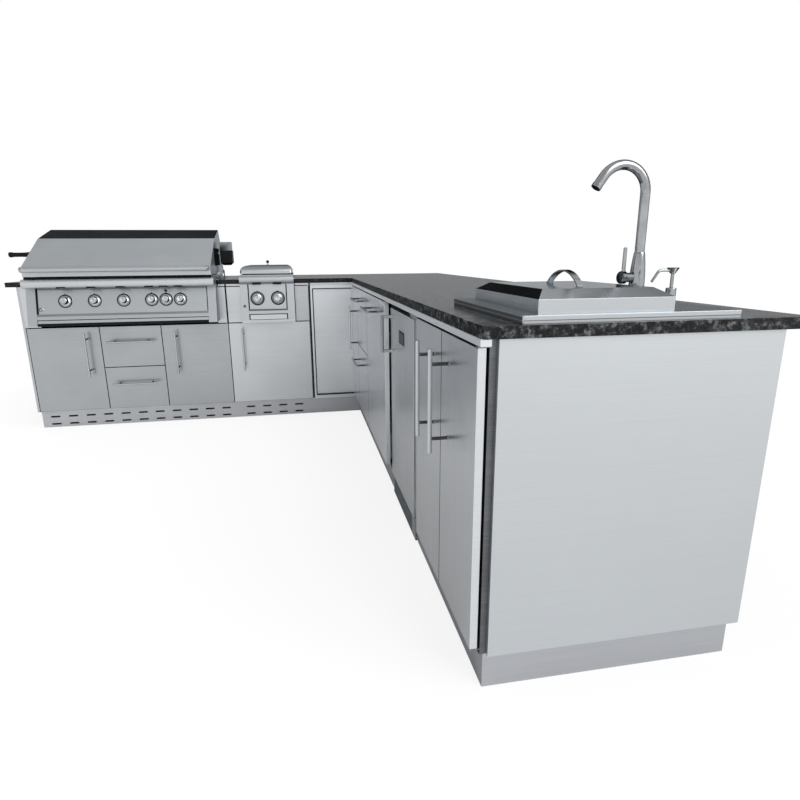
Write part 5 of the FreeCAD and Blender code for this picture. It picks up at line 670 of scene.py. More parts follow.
@dataclass
class Cabinets:
    """Carcasses, plinth, feet, frames and end panels: everything fixed below the stone."""

    ease: float = 0.8
    front_a: float = 2547.0
    front_foot: float = 118.0
    front_head: float = 886.0
    upper_z: float = 645.0
    rail_z: float = 872.0
    joints_x: tuple[float, float, float] = (-893.5, -369.0, -94.0)
    plate_x: tuple[float, float] = (-936.0, -805.0)
    strip_x: tuple[float, float] = (-462.0, -380.0)
    recess_x: float = -349.0
    recess_z: tuple[float, float] = (141.0, 849.0)
    recess_y: float = 0.0
    wide: float = 10.0
    thin: float = 5.5
    near_panel_y: float = -76.0
    run_b_x: float = -100.0
    baffle_y: float = 2618.0
    baffle_runs: tuple[tuple[float, float], ...] = ((-2060.0, -900.0), (-890.0, -400.0))

    def build(self) -> None:
        """Builds the fixed cabinet pieces."""
        paint_nodes({
            "carcass_grill": BOARD,
            "carcass_burner": BOARD,
            "carcass_corner": BOARD,
            "carcass_drawers": BOARD,
            "carcass_fridge_bay": BOARD,
            "cabinet_hardware": ZINC,
        })
        self.sink_box()
        self.eased("toe_kicks", always(STEEL_PLINTH), "plinth_boards", "plinth")
        self.face_frame()
        self.eased("end_panels", self.panel_finish, "end_panel_skins", "steel")
        self.eased("corner_panel", always(STEEL_CORNER_PAINTED_LIGHT), "corner_panel_frame", "steel")
        self.seams()
        self.baffles()
        self.feet()

    def eased(self, node: str, pick: Callable[[Vector, Vector], Optional[Finish]], name: str,
              slot: str) -> None:
        """Replaces a node by its eased copy."""
        piece = Workpiece()
        piece.node(node, pick, self.ease)
        piece.finish(name, ISLAND, slot, [node])

    def sink_box(self) -> None:
        """The sink cabinet's box, black within, its near stile painted dark steel as painted shade."""
        piece = Workpiece()
        piece.node("carcass_sink", always(BOARD), self.ease)
        piece.repaint(STEEL_DARK_AND_SHADE, lambda middle, facing: facing.y < -0.9
                      and middle.y < self.near_panel_y + 0.5)
        piece.finish("sink_cabinet_box", ISLAND, "board", ["carcass_sink"])

    def face_frame(self) -> None:
        """Rails and plates in paler steel, painted light; the long run's brushed along it, the others across."""
        piece = Workpiece()
        piece.node("face_frame", always(STEEL_PLATE_PAINTED_LIGHT), self.ease)
        piece.repaint(STEEL_RAIL_PAINTED_LIGHT, lambda middle, facing: middle.x > self.run_b_x)
        piece.repaint(STEEL_X, lambda middle, facing: self.strip_x[0] - 20 < middle.x < self.run_b_x)
        piece.finish("face_frame_rails", ISLAND, "steel", ["face_frame"])

    def panel_finish(self, low: Vector, high: Vector) -> Finish:
        """The near end panel takes the paler steel, as painted light."""
        return STEEL_PALE_PAINTED_LIGHT if high.y < 0 else STEEL_Y

    def seams(self) -> None:
        """Black strips in the cabinets' joints, below the rail and round the corner panel: painted shade."""
        piece = Workpiece()
        y = self.front_a
        foot, head, rail = self.front_foot, self.front_head, self.rail_z
        grill_end, panel_left, panel_right = self.joints_x
        joints = ((grill_end, self.upper_z, grill_end, head, self.wide),
                  (panel_left, foot, panel_left, head, self.wide),
                  (self.plate_x[0], rail, self.plate_x[1], rail, self.thin),
                  (self.strip_x[0], rail, self.strip_x[1], rail, self.thin))
        for x0, z0, x1, z1, width in joints:
            side = (1, 0, 0) if x0 == x1 else (0, 0, 1)
            piece.bar((x0, y + 0.3, z0), (x1, y + 0.3, z1), side, width, 1.6, BLACK_SEAL_AND_SHADE)
        low, high = self.recess_z
        left = self.recess_x
        depth = y + self.recess_y
        for x0, z0, x1, z1 in ((left, low, left, high), (left, high, panel_right, high),
                               (left, low, panel_right, low)):
            side = (1, 0, 0) if x0 == x1 else (0, 0, 1)
            piece.bar((x0, depth, z0), (x1, depth, z1), side, self.thin + 1, 1.6, BLACK_SEAL_AND_SHADE)
        piece.finish("cabinet_joint_shade_strips", ISLAND, "steel")

    def baffles(self) -> None:
        """Black sheets behind the plinth's vent slots: painted shade, so that they read dark."""
        piece = Workpiece()
        for x0, x1 in self.baffle_runs:
            piece.block((x0, self.baffle_y, 14.0), (x1, self.baffle_y + 2.0, 113.0), BLACK_NYLON_AND_SHADE, 0.3)
        piece.finish("vent_shade_baffles", ISLAND, "plinth")

    def feet(self) -> None:
        """Levelling feet with a ribbed pad and a threaded stem."""
        piece = Workpiece()
        piece.node("levelling_feet", always(BLACK_NYLON_AND_SHADE), 1.0)
        piece.finish("levelling_foot_pads", ISLAND, "foot_plastic", ["levelling_feet"])


@dataclass
class BarHandle:
    """A round bar on two posts, as on every door and drawer."""

    radius: float = 6.0
    post_radius: float = 4.5
    pitch: float = 194.0
    length: float = 272.0
    collar_radius: float = 7.0
    collar_height: float = 2.0
    dome: float = 1.6

    def build(self, name: str, body: str, middle: Vector, along: Vector, inwards: Vector,
              reach: float) -> None:
        """Builds a handle.

        Args:
            name: The object's name.
            body: The body that it rides on.
            middle: The middle of the bar.
            along: The bar's direction.
            inwards: The direction from the bar to the front.
            reach: The distance from the bar's middle to the front.
        """
        piece = Workpiece()
        finish = STEEL_SATIN
        half = along * (self.length / 2)
        piece.rod(middle - half, middle + half, self.radius, finish, ease=self.dome)
        for side in (-1, 1):
            root = middle + along * (side * self.pitch / 2)
            foot = root + inwards * reach
            piece.rod(root, foot, self.post_radius, DARK_CHROME, ease=0.2)
            piece.rod(foot - inwards * self.collar_height, foot, self.collar_radius, finish, ease=0.5)
        piece.finish(name, body, "steel")


@dataclass
class Fronts:
    """Doors, drawers and the pull-out, with their handles."""

    front_a: float = 2547.0
    front_b: float = -93.0
    reach: float = 48.0
    ease: float = 2.2
    thick: float = 20.0
    edges_painted_light: tuple[str, ...] = ("pullout", "door_sink_near")
    handle: BarHandle = field(default_factory=BarHandle)
    run_a: tuple[str, ...] = ("door_grill_left", "door_grill_right", "drawer_grill_upper",
                              "drawer_grill_lower", "door_burner")
    run_b: tuple[str, ...] = ("door_corner", "drawer_b_upper", "drawer_b_lower", "pullout",
                              "door_sink_far", "door_sink_near")

    def build(self) -> None:
        """Builds each front as an eased copy without its bar, then fits the new bar."""
        for name in self.run_a:
            self.front(name, GRILL_DOOR_STEEL_SHADED if "grill" in name else STEEL_PLATE_PAINTED_LIGHT, 1, self.front_a)
        for name in self.run_b:
            near = name.startswith("door_sink")
            self.front(name, SINK_DOOR_STEEL if near else STEEL_UPRIGHT_PAINTED_LIGHT, 0, self.front_b)

    def front(self, name: str, finish: Finish, axis: int, plane: float) -> None:
        """Builds one front.

        Args:
            name: Its node and body.
            finish: Its sheet's finish.
            axis: The axis that its face looks along, 0 or 1.
            plane: Where its face lies on that axis.
        """
        bars: list[tuple[Vector, Vector]] = []

        def pick(low: Vector, high: Vector) -> Optional[Finish]:
            """Leaves out the bar and its posts, and keeps the bar's corners."""
            if high[axis] < plane + 0.5:
                bars.append((low, high))
                return None
            return finish

        piece = Workpiece()
        piece.node(name, pick, self.ease)
        limit = plane + self.thick
        # The rims and sides of each front are painted black: painted shade that darkens the gaps between fronts.
        piece.repaint(BLACK_SEAL_AND_SHADE, lambda middle, facing: middle[axis] < limit + 0.2
                      and abs(facing[axis]) < 0.95)
        # Where a near edge shows, it takes the pale steel instead, as a painted highlight.
        if name in self.edges_painted_light:
            piece.repaint(STEEL_EDGE_PAINTED_LIGHT, lambda middle, facing: middle[axis] < limit and facing.y < -0.5)
        piece.finish(name + "_sheet", name, "steel", [name])
        low, high = max(bars, key=lambda pair: (pair[1] - pair[0]).length)
        middle = (low + high) / 2
        middle[axis] = plane - self.reach
        size = high - low
        along = Vector((0, 0, 1)) if size.z > 150 else (Vector((1, 0, 0)) if axis else Vector((0, 1, 0)))
        inwards = Vector((0, 1, 0)) if axis else Vector((1, 0, 0))
        self.handle.build(name + "_bar", name, middle, along, inwards, self.reach)


@dataclass
class Stone:
    """The granite counter."""

    ease: float = 2.0

    def build(self) -> None:
        """Builds both slabs with eased, polished edges."""
        for run, front in (("a", GRANITE_PLAIN), ("b", GRANITE)):
            piece = Workpiece()
            piece.node("countertop_run_" + run, always(GRANITE), self.ease, 3)
            piece.repaint(front, lambda middle, facing: facing.y < -0.3)
            piece.repaint(GRANITE_EDGE, lambda middle, facing: facing.x < -0.3)
            piece.finish("granite_slab_" + run, ISLAND, "granite", ["countertop_run_" + run])


@dataclass
class Controls:
    """Knobs, bezels and the igniter on both fascias."""

    skirt_radius: float = 27.0
    skirt_height: float = 6.0
    grip_radius: float = 19.0
    grip_top: float = 34.0
    bezel_radius: float = 40.0
    side_bezel_radius: float = 44.0
    ring_groove: float = 8.0
    bezel_bore: float = 28.5
    bezel_height: float = 6.0
    notch_width: float = 7.0
    flutes: int = 20
    flute_radius: float = 1.5
    knobs: tuple[str, ...] = ("grill_knob_1", "grill_knob_2", "grill_knob_3", "grill_knob_4",
                              "grill_knob_5", "grill_knob_6", "side_knob_1", "side_knob_2")

    def build(self) -> None:
        """Builds the bezels, the knobs and the igniter."""
        rings = Workpiece()
        for name in self.knobs:
            origin, axis = self.seat(name)
            outer = self.side_bezel_radius if name.startswith("side") else self.bezel_radius
            # The grill's bezels take the paler steel as painted light, the side burner's the grey steel as painted
            # shade.
            self.bezel(rings, origin, axis, outer, STEEL_GREY_SHADE if outer > self.bezel_radius else STEEL_PALE_PAINTED_LIGHT)
            self.knob(name, origin, axis)
        rings.node("control_bezels", self.small_only, 0.3)
        rings.finish("knob_bezels", ISLAND, "chrome", ["control_bezels"])
        self.igniter()

    def seat(self, name: str) -> tuple[Vector, Vector]:
        """Where a knob's axis meets the fascia, and the axis.

        Args:
            name: The knob.

        Returns:
            The point and the direction out of the fascia.
        """
        turn = joint(name + "_turn")
        axis = Vector(turn["axis"]).normalized()
        low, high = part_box(name)
        centre = Vector(turn["pos_m"]) / MM
        middle = centre + axis * ((low + high) / 2 / MM - centre).dot(axis)
        span = self.grip_top - 1.0
        return middle - axis * (span / 2 + 1.0), axis

    def bezel(self, rings: Workpiece, origin: Vector, axis: Vector, outer: float, finish: Finish) -> None:
        """A turned ring with a black groove, and a black mark at its top."""
        bore = self.bezel_bore
        top = self.bezel_height
        inner = outer - self.ring_groove
        rings.lathe([(bore, 0.0), (outer, 0.0), (outer, top - 3.5), (outer - 1.5, top - 2.0),
                     (outer - 2.0, top - 3.0), (inner, top - 3.0), (inner, top - 0.8), (inner - 1.0, top),
                     (bore + 0.8, top), (bore, top - 0.8), (bore, 0.0)], origin, axis, finish)
        rings.lathe([(inner + 0.1, top - 3.1), (outer - 1.9, top - 3.1), (outer - 1.9, top - 1.8),
                     (inner + 0.1, top - 1.8), (inner + 0.1, top - 3.1)], origin, axis, BLACK_NYLON_AND_SHADE)
        up = Vector((0, 0, 1))
        rise = (up - axis * up.dot(axis)).normalized()
        half = self.notch_width / 2
        foot = origin + rise * (inner + 1.0) + axis * (top - 2.0)
        tip = origin + rise * (outer + 5.0) + axis * 1.2
        rings.rod(foot, tip, half, BLACK_NYLON_AND_SHADE, half * 0.5, 0.2, 12)

    def knob(self, name: str, origin: Vector, axis: Vector) -> None:
        """A knob with a dished skirt, a fluted grip, a domed face and a pointer."""
        piece = Workpiece()
        skirt = self.skirt_radius
        grip = self.grip_radius
        top = self.grip_top
        piece.lathe([(0.0, 1.0), (skirt - 0.6, 1.0), (skirt, 1.6), (skirt, 3.4), (skirt - 1.4, 4.8),
                     (grip + 3.0, self.skirt_height), (grip + 0.6, 8.0), (grip, 11.0), (grip - 0.8, top - 3.0),
                     (grip - 1.2, top - 1.0), (grip - 2.6, top), (grip - 5.0, top), (grip - 7.0, top - 0.6),
                     (0.0, top - 1.2)], origin, axis, SATIN_CAP)
        piece.repaint(DARK_CHROME, lambda middle, facing: 7.5 < (middle - origin).dot(axis) < top - 0.8
                      and abs(facing.dot(axis)) < 0.5)
        up = Vector((0, 0, 1))
        rise = (up - axis * up.dot(axis)).normalized()
        side = axis.cross(rise)
        for i in range(self.flutes):
            angle = ROUND * (i + 0.5) / self.flutes
            spoke = rise * math.cos(angle) + side * math.sin(angle)
            foot = origin + spoke * (grip - 0.6) + axis * 10.0
            head = origin + spoke * (grip - 1.1) + axis * (top - 3.0)
            piece.rod(foot, head, self.flute_radius, DARK_CHROME, ease=0.5, sides=8)
        foot = origin + rise * 2.0 + axis * (top - 1.0)
        tip = origin + rise * (grip - 4.0) + axis * (top - 0.4)
        piece.rod(foot, tip, 1.3, BLACK_NYLON_AND_SHADE, ease=0.4, sides=12)
        piece.finish(name + "_turned", name, "chrome", [name])

    def small_only(self, low: Vector, high: Vector) -> Optional[Finish]:
        """Keeps only the igniter's collar and cup of the model's bezels."""
        return CHROME if high.x - low.x < self.bezel_radius else None

    def igniter(self) -> None:
        """The igniter's domed button."""
        piece = Workpiece()
        low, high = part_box("igniter_button")
        axis = Vector(joint("igniter_press")["axis"]).normalized() * -1
        middle = (low + high) / 2 / MM
        half = 10.0
        piece.lathe([(0.0, -half), (6.4, -half), (7.0, -half + 0.6), (7.0, half - 1.5), (5.5, half - 0.4),
                     (0.0, half)], middle, axis, BLACK_NYLON_AND_SHADE, 32)
        piece.finish("igniter_button_turned", "igniter_button", "chrome", ["igniter_button"])


@dataclass(frozen=True)
class Slope:
    """The leaning face of a fascia."""

    top_y: float
    top_z: float
    lean: float
    left: float
    right: float

    def at(self, x: float, z: float, out: float) -> Point:
        """A point before the face.

        Args:
            x: Its place along the fascia.
            z: Its height.
            out: How far it stands before the sheet.

        Returns:
            The point.
        """
        return x, self.top_y - (self.top_z - z) * self.lean - out, z

    def stripe(self, piece: Workpiece, z: float, width: float, out: float, finish: Finish) -> None:
        """A level strip across the sheet."""
        piece.bar(self.at(self.left, z, out), self.at(self.right, z, out), (0, self.lean, 1), width, 1.0,
                  finish)

    def upright(self, piece: Workpiece, x: float, foot: float, width: float, finish: Finish) -> None:
        """An upright strip on the sheet, from a height to its top."""
        piece.bar(self.at(x, foot, 1.0), self.at(x, self.top_z - 2, 1.0), (1, 0, 0), width, 1.0, finish)


@dataclass
class Grill:
    """The gas grill: firebox, fascia, hood, burners, grates, tray and rotisserie."""

    middle_x: float = -1470.0
    hood_ease: float = 1.6
    small_part: float = 80.0
    handle_radius: float = 15.0
    handle_z: float = 990.0
    handle_y: float = 2367.0
    handle_half: float = 507.0
    fold_z: float = 1160.0
    motor_split: float = 1094.0
    motor_face: float = -932.0
    lip_y: float = 2410.0
    tray_shade_top: float = 681.0
    tray_shade_front: float = 2430.0
    slope: Slope = Slope(2465.0, 885.0, 0.2174, -1950.0, -990.0)
    seam: float = 6.0
    trim_top: float = 729.0
    trim_foot: float = 701.0
    trim_out: float = 7.0
    groove: float = 13.0
    pillar_left: float = -2000.4
    pillar_right: float = -939.6
    pillar_foot: float = 668.0
    shade_block_half: float = 24.0
    shade_block_y: float = 2399.0
    seal_x: tuple[float, float] = (-1984.0, -956.0)
    lock_x: float = -1928.0
    lock_z: float = 760.0
    end_x: float = -953.0
    end_y: tuple[float, float] = (2620.0, 2905.0)
    end_z: tuple[float, float] = (1000.0, 1108.0)

    def build(self) -> None:
        """Builds the grill's pieces."""
        self.fixed("grill_firebox", self.firebox_finish, "grill_firebox_shell", 0.6)
        self.fixed("grill_fascia", always(STEEL_X), "grill_fascia_sheet", 1.0)
        self.fixed("grill_bullnose", self.bullnose_finish, "grill_bullnose_shelf", 1.0)
        self.fixed("burner_set", self.burner_finish, "burner_tubes_and_tamers", 0.4)
        self.fixed("cooking_grates", always(CAST_IRON), "cooking_grate_castings", 1.6, "cast_iron")
        self.fixed("gas_manifold", always(BRASS), "gas_manifold_and_valves", 0.4, "brass")
        self.motor()
        self.hood()
        self.hood_handle()
        self.end_plate()
        self.tray()
        self.spit()
        self.seams()

    def fixed(self, node: str, pick: Callable[[Vector, Vector], Optional[Finish]], name: str, ease: float,
              slot: str = "steel") -> None:
        """Replaces a fixed node by its eased copy."""
        piece = Workpiece()
        piece.node(node, pick, ease)
        piece.finish(name, ISLAND, slot, [node])

    def firebox_finish(self, low: Vector, high: Vector) -> Finish:
        """Hinge ears and pins are dulled by heat, the shell is brushed."""
        return STEEL_DARK_AND_SHADE if max(high - low) < self.small_part else STEEL_X

    def bullnose_finish(self, low: Vector, high: Vector) -> Finish:
        """The lid's stops are rubber, the shelf is the paler steel, as painted light."""
        return RUBBER if high.x - low.x < 100 else STEEL_PALE_PAINTED_LIGHT

    def burner_finish(self, low: Vector, high: Vector) -> Finish:
        """Tamers are dulled by heat, tubes stay brighter."""
        return STEEL_DARK_AND_SHADE if high.x - low.x > 60 else BRIGHT

    def motor(self) -> None:
        """The rotisserie's motor: a steel plate and a case, black below and grey above."""
        piece = Workpiece()
        piece.node("rotisserie_motor", lambda low, high: STEEL_Z if high.x - low.x < 10 else BLACK_NYLON_AND_SHADE, 2.0)
        piece.repaint(MOTOR_GREY, lambda middle, facing: middle.z > self.motor_split
                      and middle.x > self.motor_face)
        piece.finish("rotisserie_motor_case", ISLAND, "black_metal", ["rotisserie_motor"])

    def hood(self) -> None:
        """The hood's brushed front and buffed top fold, the fold painted darker as a dark reflection."""
        piece = Workpiece()
        piece.node("grill_lid", self.firebox_finish, self.hood_ease, 2, 12.0)
        piece.repaint(HOOD_TOP_PAINTED_DARK, lambda middle, facing: facing.z > 0.93 and middle.z > self.fold_z)
        piece.finish("grill_hood", "grill_lid", "steel", ["grill_lid"], 9.0)

    def hood_handle(self) -> None:
        """The bar across the hood, its end caps and brackets."""
        piece = Workpiece()
        y, z, half = self.handle_y, self.handle_z, self.handle_half
        x = self.middle_x
        piece.rod((x - half, y, z), (x + half, y, z), self.handle_radius, STEEL_X, ease=2.5, sides=40)
        for side in (-1, 1):
            end = x + side * half
            piece.rod((end - side * 9.0, y, z), (end - side * 7.0, y, z), self.handle_radius + 0.4,
                      DARK_CHROME, ease=0.3, sides=40)
        piece.node("grill_lid_handle", self.brackets_only, 1.2)
        piece.finish("grill_hood_bar", "grill_lid", "chrome", ["grill_lid_handle"])

    def brackets_only(self, low: Vector, high: Vector) -> Optional[Finish]:
        """Keeps only the handle's two brackets."""
        return BRIGHT if high.x - low.x < 100 else None

    def tray(self) -> None:
        """The drip tray, the foot of its front painted black as the shade of the gap below it."""
        piece = Workpiece()
        piece.node("drip_tray", always(STEEL_X), 0.8)
        piece.cut((0.0, 0.0, self.tray_shade_top), (0.0, 0.0, 1.0))
        piece.repaint(BLACK_NYLON_AND_SHADE, lambda middle, facing: middle.z < self.tray_shade_top
                      and middle.y < self.tray_shade_front)
        piece.finish("drip_tray_pan", "drip_tray", "steel", ["drip_tray"])

    def seams(self) -> None:
        """Black strips round the fascia's sheet and under its trim, grey ones in its grooves and dark ones on
        the pillars' sides, all painted shade; dark lamp blocks under the shelf, also painted shade; the
        hood's seal; the switch.
        """
        piece = Workpiece()
        slope = self.slope
        for x, width in ((slope.left, self.seam * 1.5), (slope.right, self.seam)):
            inner = x + math.copysign(width / 2, self.middle_x - x)
            slope.upright(piece, inner, self.trim_foot, width, BLACK_SEAL_AND_SHADE)
        slope.stripe(piece, self.trim_top - 1.0, self.groove, self.trim_out, STEEL_GREY_SHADE)
        slope.stripe(piece, slope.top_z - self.groove / 2 - 1.0, self.groove, 0.4, STEEL_GREY_SHADE)
        slope.stripe(piece, self.trim_foot - self.seam / 2, self.seam, 0.6, BLACK_SEAL_AND_SHADE)
        # Dark strips on the pillars' sides: painted shade.
        for x in (self.pillar_left, self.pillar_right):
            piece.bar(slope.at(x, self.pillar_foot, -12.0), slope.at(x, slope.top_z - 2, -12.0),
                      (0, 1, 0), 12.0, 1.0, STEEL_DARK_AND_SHADE)
        piece.finish("fascia_shade_strips", ISLAND, "steel")
        piece = Workpiece()
        y, z = self.shade_block_y, slope.top_z
        # Dark blocks shaped as lamp housings above each knob: painted shade under the shelf.
        for i in range(1, 7):
            low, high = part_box("grill_knob_%d" % i)
            x = (low.x + high.x) / 2 / MM
            piece.block((x - self.shade_block_half, y, z - 3.0), (x + self.shade_block_half, y + 40.0, z + 4.0), BLACK_NYLON_AND_SHADE, 2.0, 3)
            piece.block((x - self.shade_block_half + 6, y + 8.0, z - 4.0), (x + self.shade_block_half - 6, y + 30.0, z - 2.5),
                        BOTTLE, 0.6)
        piece.finish("shelf_lamp_shade_blocks", ISLAND, "steel")
        piece = Workpiece()
        piece.block((self.seal_x[0], self.lip_y + 2, 935.2), (self.seal_x[1], self.lip_y + 10, 949.2),
                    RUBBER, 1.5, 2)
        piece.finish("hood_rest_seal", ISLAND, "steel")
        piece = Workpiece()
        middle = Vector(slope.at(self.lock_x, self.lock_z, 0.0))
        axis = Vector((0, -0.977175, 0.212438))
        piece.lathe([(0.0, 0.0), (13.0, 0.0), (13.0, 2.0), (11.5, 3.0), (9.5, 3.0), (9.0, 1.6), (7.0, 1.6),
                     (6.5, 3.2), (0.0, 3.8)], middle, axis, BRIGHT, 32)
        piece.lathe([(7.1, 1.5), (8.9, 1.5), (8.9, 2.0), (7.1, 2.0), (7.1, 1.5)], middle, axis, BLACK_NYLON_AND_SHADE,
                    32)
        piece.finish("lamp_switch", ISLAND, "steel")

    def end_plate(self) -> None:
        """A near-black plate on the hood's right end, round the spit's slot: painted shade of the slot."""
        piece = Workpiece()
        x = self.end_x
        piece.block((x, self.end_y[0], self.end_z[0]), (x + 1.2, self.end_y[1], self.end_z[1]), SLOT_SHADE, 0.3)
        piece.finish("hood_end_painted_shade_plate", "grill_lid", "steel")

    def spit(self) -> None:
        """The spit: bright bar, forks, and a turned black grip at its left end."""
        piece = Workpiece()

        def pick(low: Vector, high: Vector) -> Optional[Finish]:
            """Leaves out the plain grip."""
            return None if high.x < -2050 else BRIGHT

        piece.node("spit_rod", pick, 0.4)
        y, z = 2780.0, 1075.0
        start, length = -2196.0, 130.0
        radius = 16.0
        piece.lathe([(0.0, 0.0), (radius - 5, 0.0), (radius - 2, 1.5), (radius, 6.0), (radius, 16.0),
                     (radius - 2.5, 26.0), (radius - 3.0, 60.0), (radius - 2.0, 96.0), (radius, 112.0),
                     (radius, 122.0), (radius - 3, 127.0), (radius - 7, length), (0.0, length)],
                    (start, y, z), (1, 0, 0), BLACK_NYLON_AND_SHADE, 32)
        piece.finish("spit_with_grip", "spit_rod", "steel", ["spit_rod"])


@dataclass
class SideBurner:
    """The side burner: tray, hob and hinged lid."""

    middle_x: float = -633.0
    ball_y: float = 2797.0
    lid_top: float = 998.0
    neck: float = 12.0
    ball_radius: float = 10.0
    slope: Slope = Slope(2497.5, 892.0, 0.046, -753.5, -512.5)
    seam: float = 7.0
    trim_top: float = 729.0
    trim_foot: float = 701.0
    sheet_foot: float = 663.0
    groove: float = 10.0
    shade_block_half: float = 26.0
    shade_block_y: float = 2476.0
    apron_z: tuple[float, float] = (665.0, 699.0)
    sill_x: tuple[float, float] = (-799.0, -467.0)
    sill_z: tuple[float, float] = (646.0, 664.0)
    cap_x: float = -776.5
    cap_z: float = 752.0

    def build(self) -> None:
        """Builds the side burner's pieces."""
        piece = Workpiece()
        piece.node("side_burner_tray", always(STEEL_X), 0.8)
        piece.finish("side_burner_body", ISLAND, "steel", ["side_burner_tray"])
        self.seams()
        piece = Workpiece()
        piece.node("side_burner_hob", always(CAST_IRON), 1.2)
        piece.finish("side_burner_castings", ISLAND, "cast_iron", ["side_burner_hob"])
        piece = Workpiece()
        piece.node("side_burner_lid", self.shell_only, 0.8)
        top = self.lid_top
        r = self.ball_radius
        centre = self.neck + r
        profile = [(0.0, 0.0), (7.0, 0.0), (7.0, 1.5), (5.5, 3.0), (5.0, self.neck + 1.0)]
        for i in range(1, 13):
            angle = math.radians(-66 + i * 156 / 12)
            profile.append((max(0.0, r * math.cos(angle)), centre + r * math.sin(angle)))
        profile[-1] = (0.0, centre + r)
        piece.lathe(profile, (self.middle_x, self.ball_y, top), (0, 0, 1), BLACK_NYLON_AND_SHADE, 32)
        piece.repaint(STEEL_PLATE_PAINTED_LIGHT, lambda middle, facing: top + 0.5 < middle.z < top + self.neck)
        piece.repaint(STEEL_X, lambda middle, facing: middle.z < top - 8.0 and abs(facing.z) < 0.3)
        piece.finish("side_burner_hood", "side_burner_lid", "steel", ["side_burner_lid"])

    def seams(self) -> None:
        """Strips at the fascia's edges, trim and grooves and lamp blocks under its shelf, all painted shade;
        an apron and a sill in the paler steel, painted light; a small cap.
        """
        piece = Workpiece()
        slope = self.slope
        slope.upright(piece, slope.left + self.seam / 2, self.sheet_foot, self.seam, BLACK_SEAL_AND_SHADE)
        slope.upright(piece, slope.right - self.seam / 2, self.sheet_foot, self.seam, BLACK_SEAL_AND_SHADE)
        slope.stripe(piece, self.trim_top - self.groove / 2 + 2.0, self.groove, 6.2, STEEL_DARK_AND_SHADE)
        slope.stripe(piece, self.trim_foot - 2.0, 5.0, 6.2, BLACK_SEAL_AND_SHADE)
        slope.stripe(piece, self.apron_z[0] + 1.0, 3.0, 5.4, STEEL_DARK_AND_SHADE)
        wide = Slope(slope.top_y, slope.top_z, slope.lean, *self.sill_x)
        wide.stripe(piece, slope.top_z - 3.5, 6.0, 6.4, STEEL_GREY_SHADE)
        piece.finish("side_fascia_shade_strips", ISLAND, "steel")
        piece = Workpiece()
        low, high = self.apron_z
        wide = Slope(slope.top_y, slope.top_z, slope.lean, slope.left + self.seam, slope.right - self.seam)
        wide.stripe(piece, (low + high) / 2, high - low, 5.0, STEEL_PLATE_PAINTED_LIGHT)
        piece.finish("side_fascia_apron", ISLAND, "steel")
        piece = Workpiece()
        y, z = self.shade_block_y, slope.top_z
        # Dark blocks shaped as lamp housings above each knob: painted shade under the shelf.
        for i in (1, 2):
            low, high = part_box("side_knob_%d" % i)
            x = (low.x + high.x) / 2 / MM
            piece.block((x - self.shade_block_half, y, z - 8.0), (x + self.shade_block_half, y + 18.0, z + 4.0), BLACK_NYLON_AND_SHADE, 2.0, 3)
        piece.finish("side_shelf_lamp_shade_blocks", ISLAND, "steel")
        piece = Workpiece()
        foot = slope.at(0.0, self.sheet_foot, 0.0)[1]
        piece.block((self.sill_x[0], foot - 5.0, self.sill_z[0]), (self.sill_x[1], foot + 12.0, self.sill_z[1]),
                    STEEL_PLATE_PAINTED_LIGHT, 1.5)
        piece.finish("side_fascia_sill", ISLAND, "steel")
        piece = Workpiece()
        middle = slope.at(self.cap_x, self.cap_z, 6.0)
        piece.lathe([(0.0, 0.0), (9.0, 0.0), (9.0, 2.0), (7.5, 3.0), (0.0, 3.4)], middle, (0, -1, 0),
                    STEEL_DARK_AND_SHADE, 24)
        piece.finish("side_fascia_cap", ISLAND, "steel")

    def shell_only(self, low: Vector, high: Vector) -> Optional[Finish]:
        """Leaves out the model's plain ball knob."""
        return LID_STEEL_SHADED if high.x - low.x > 100 else None


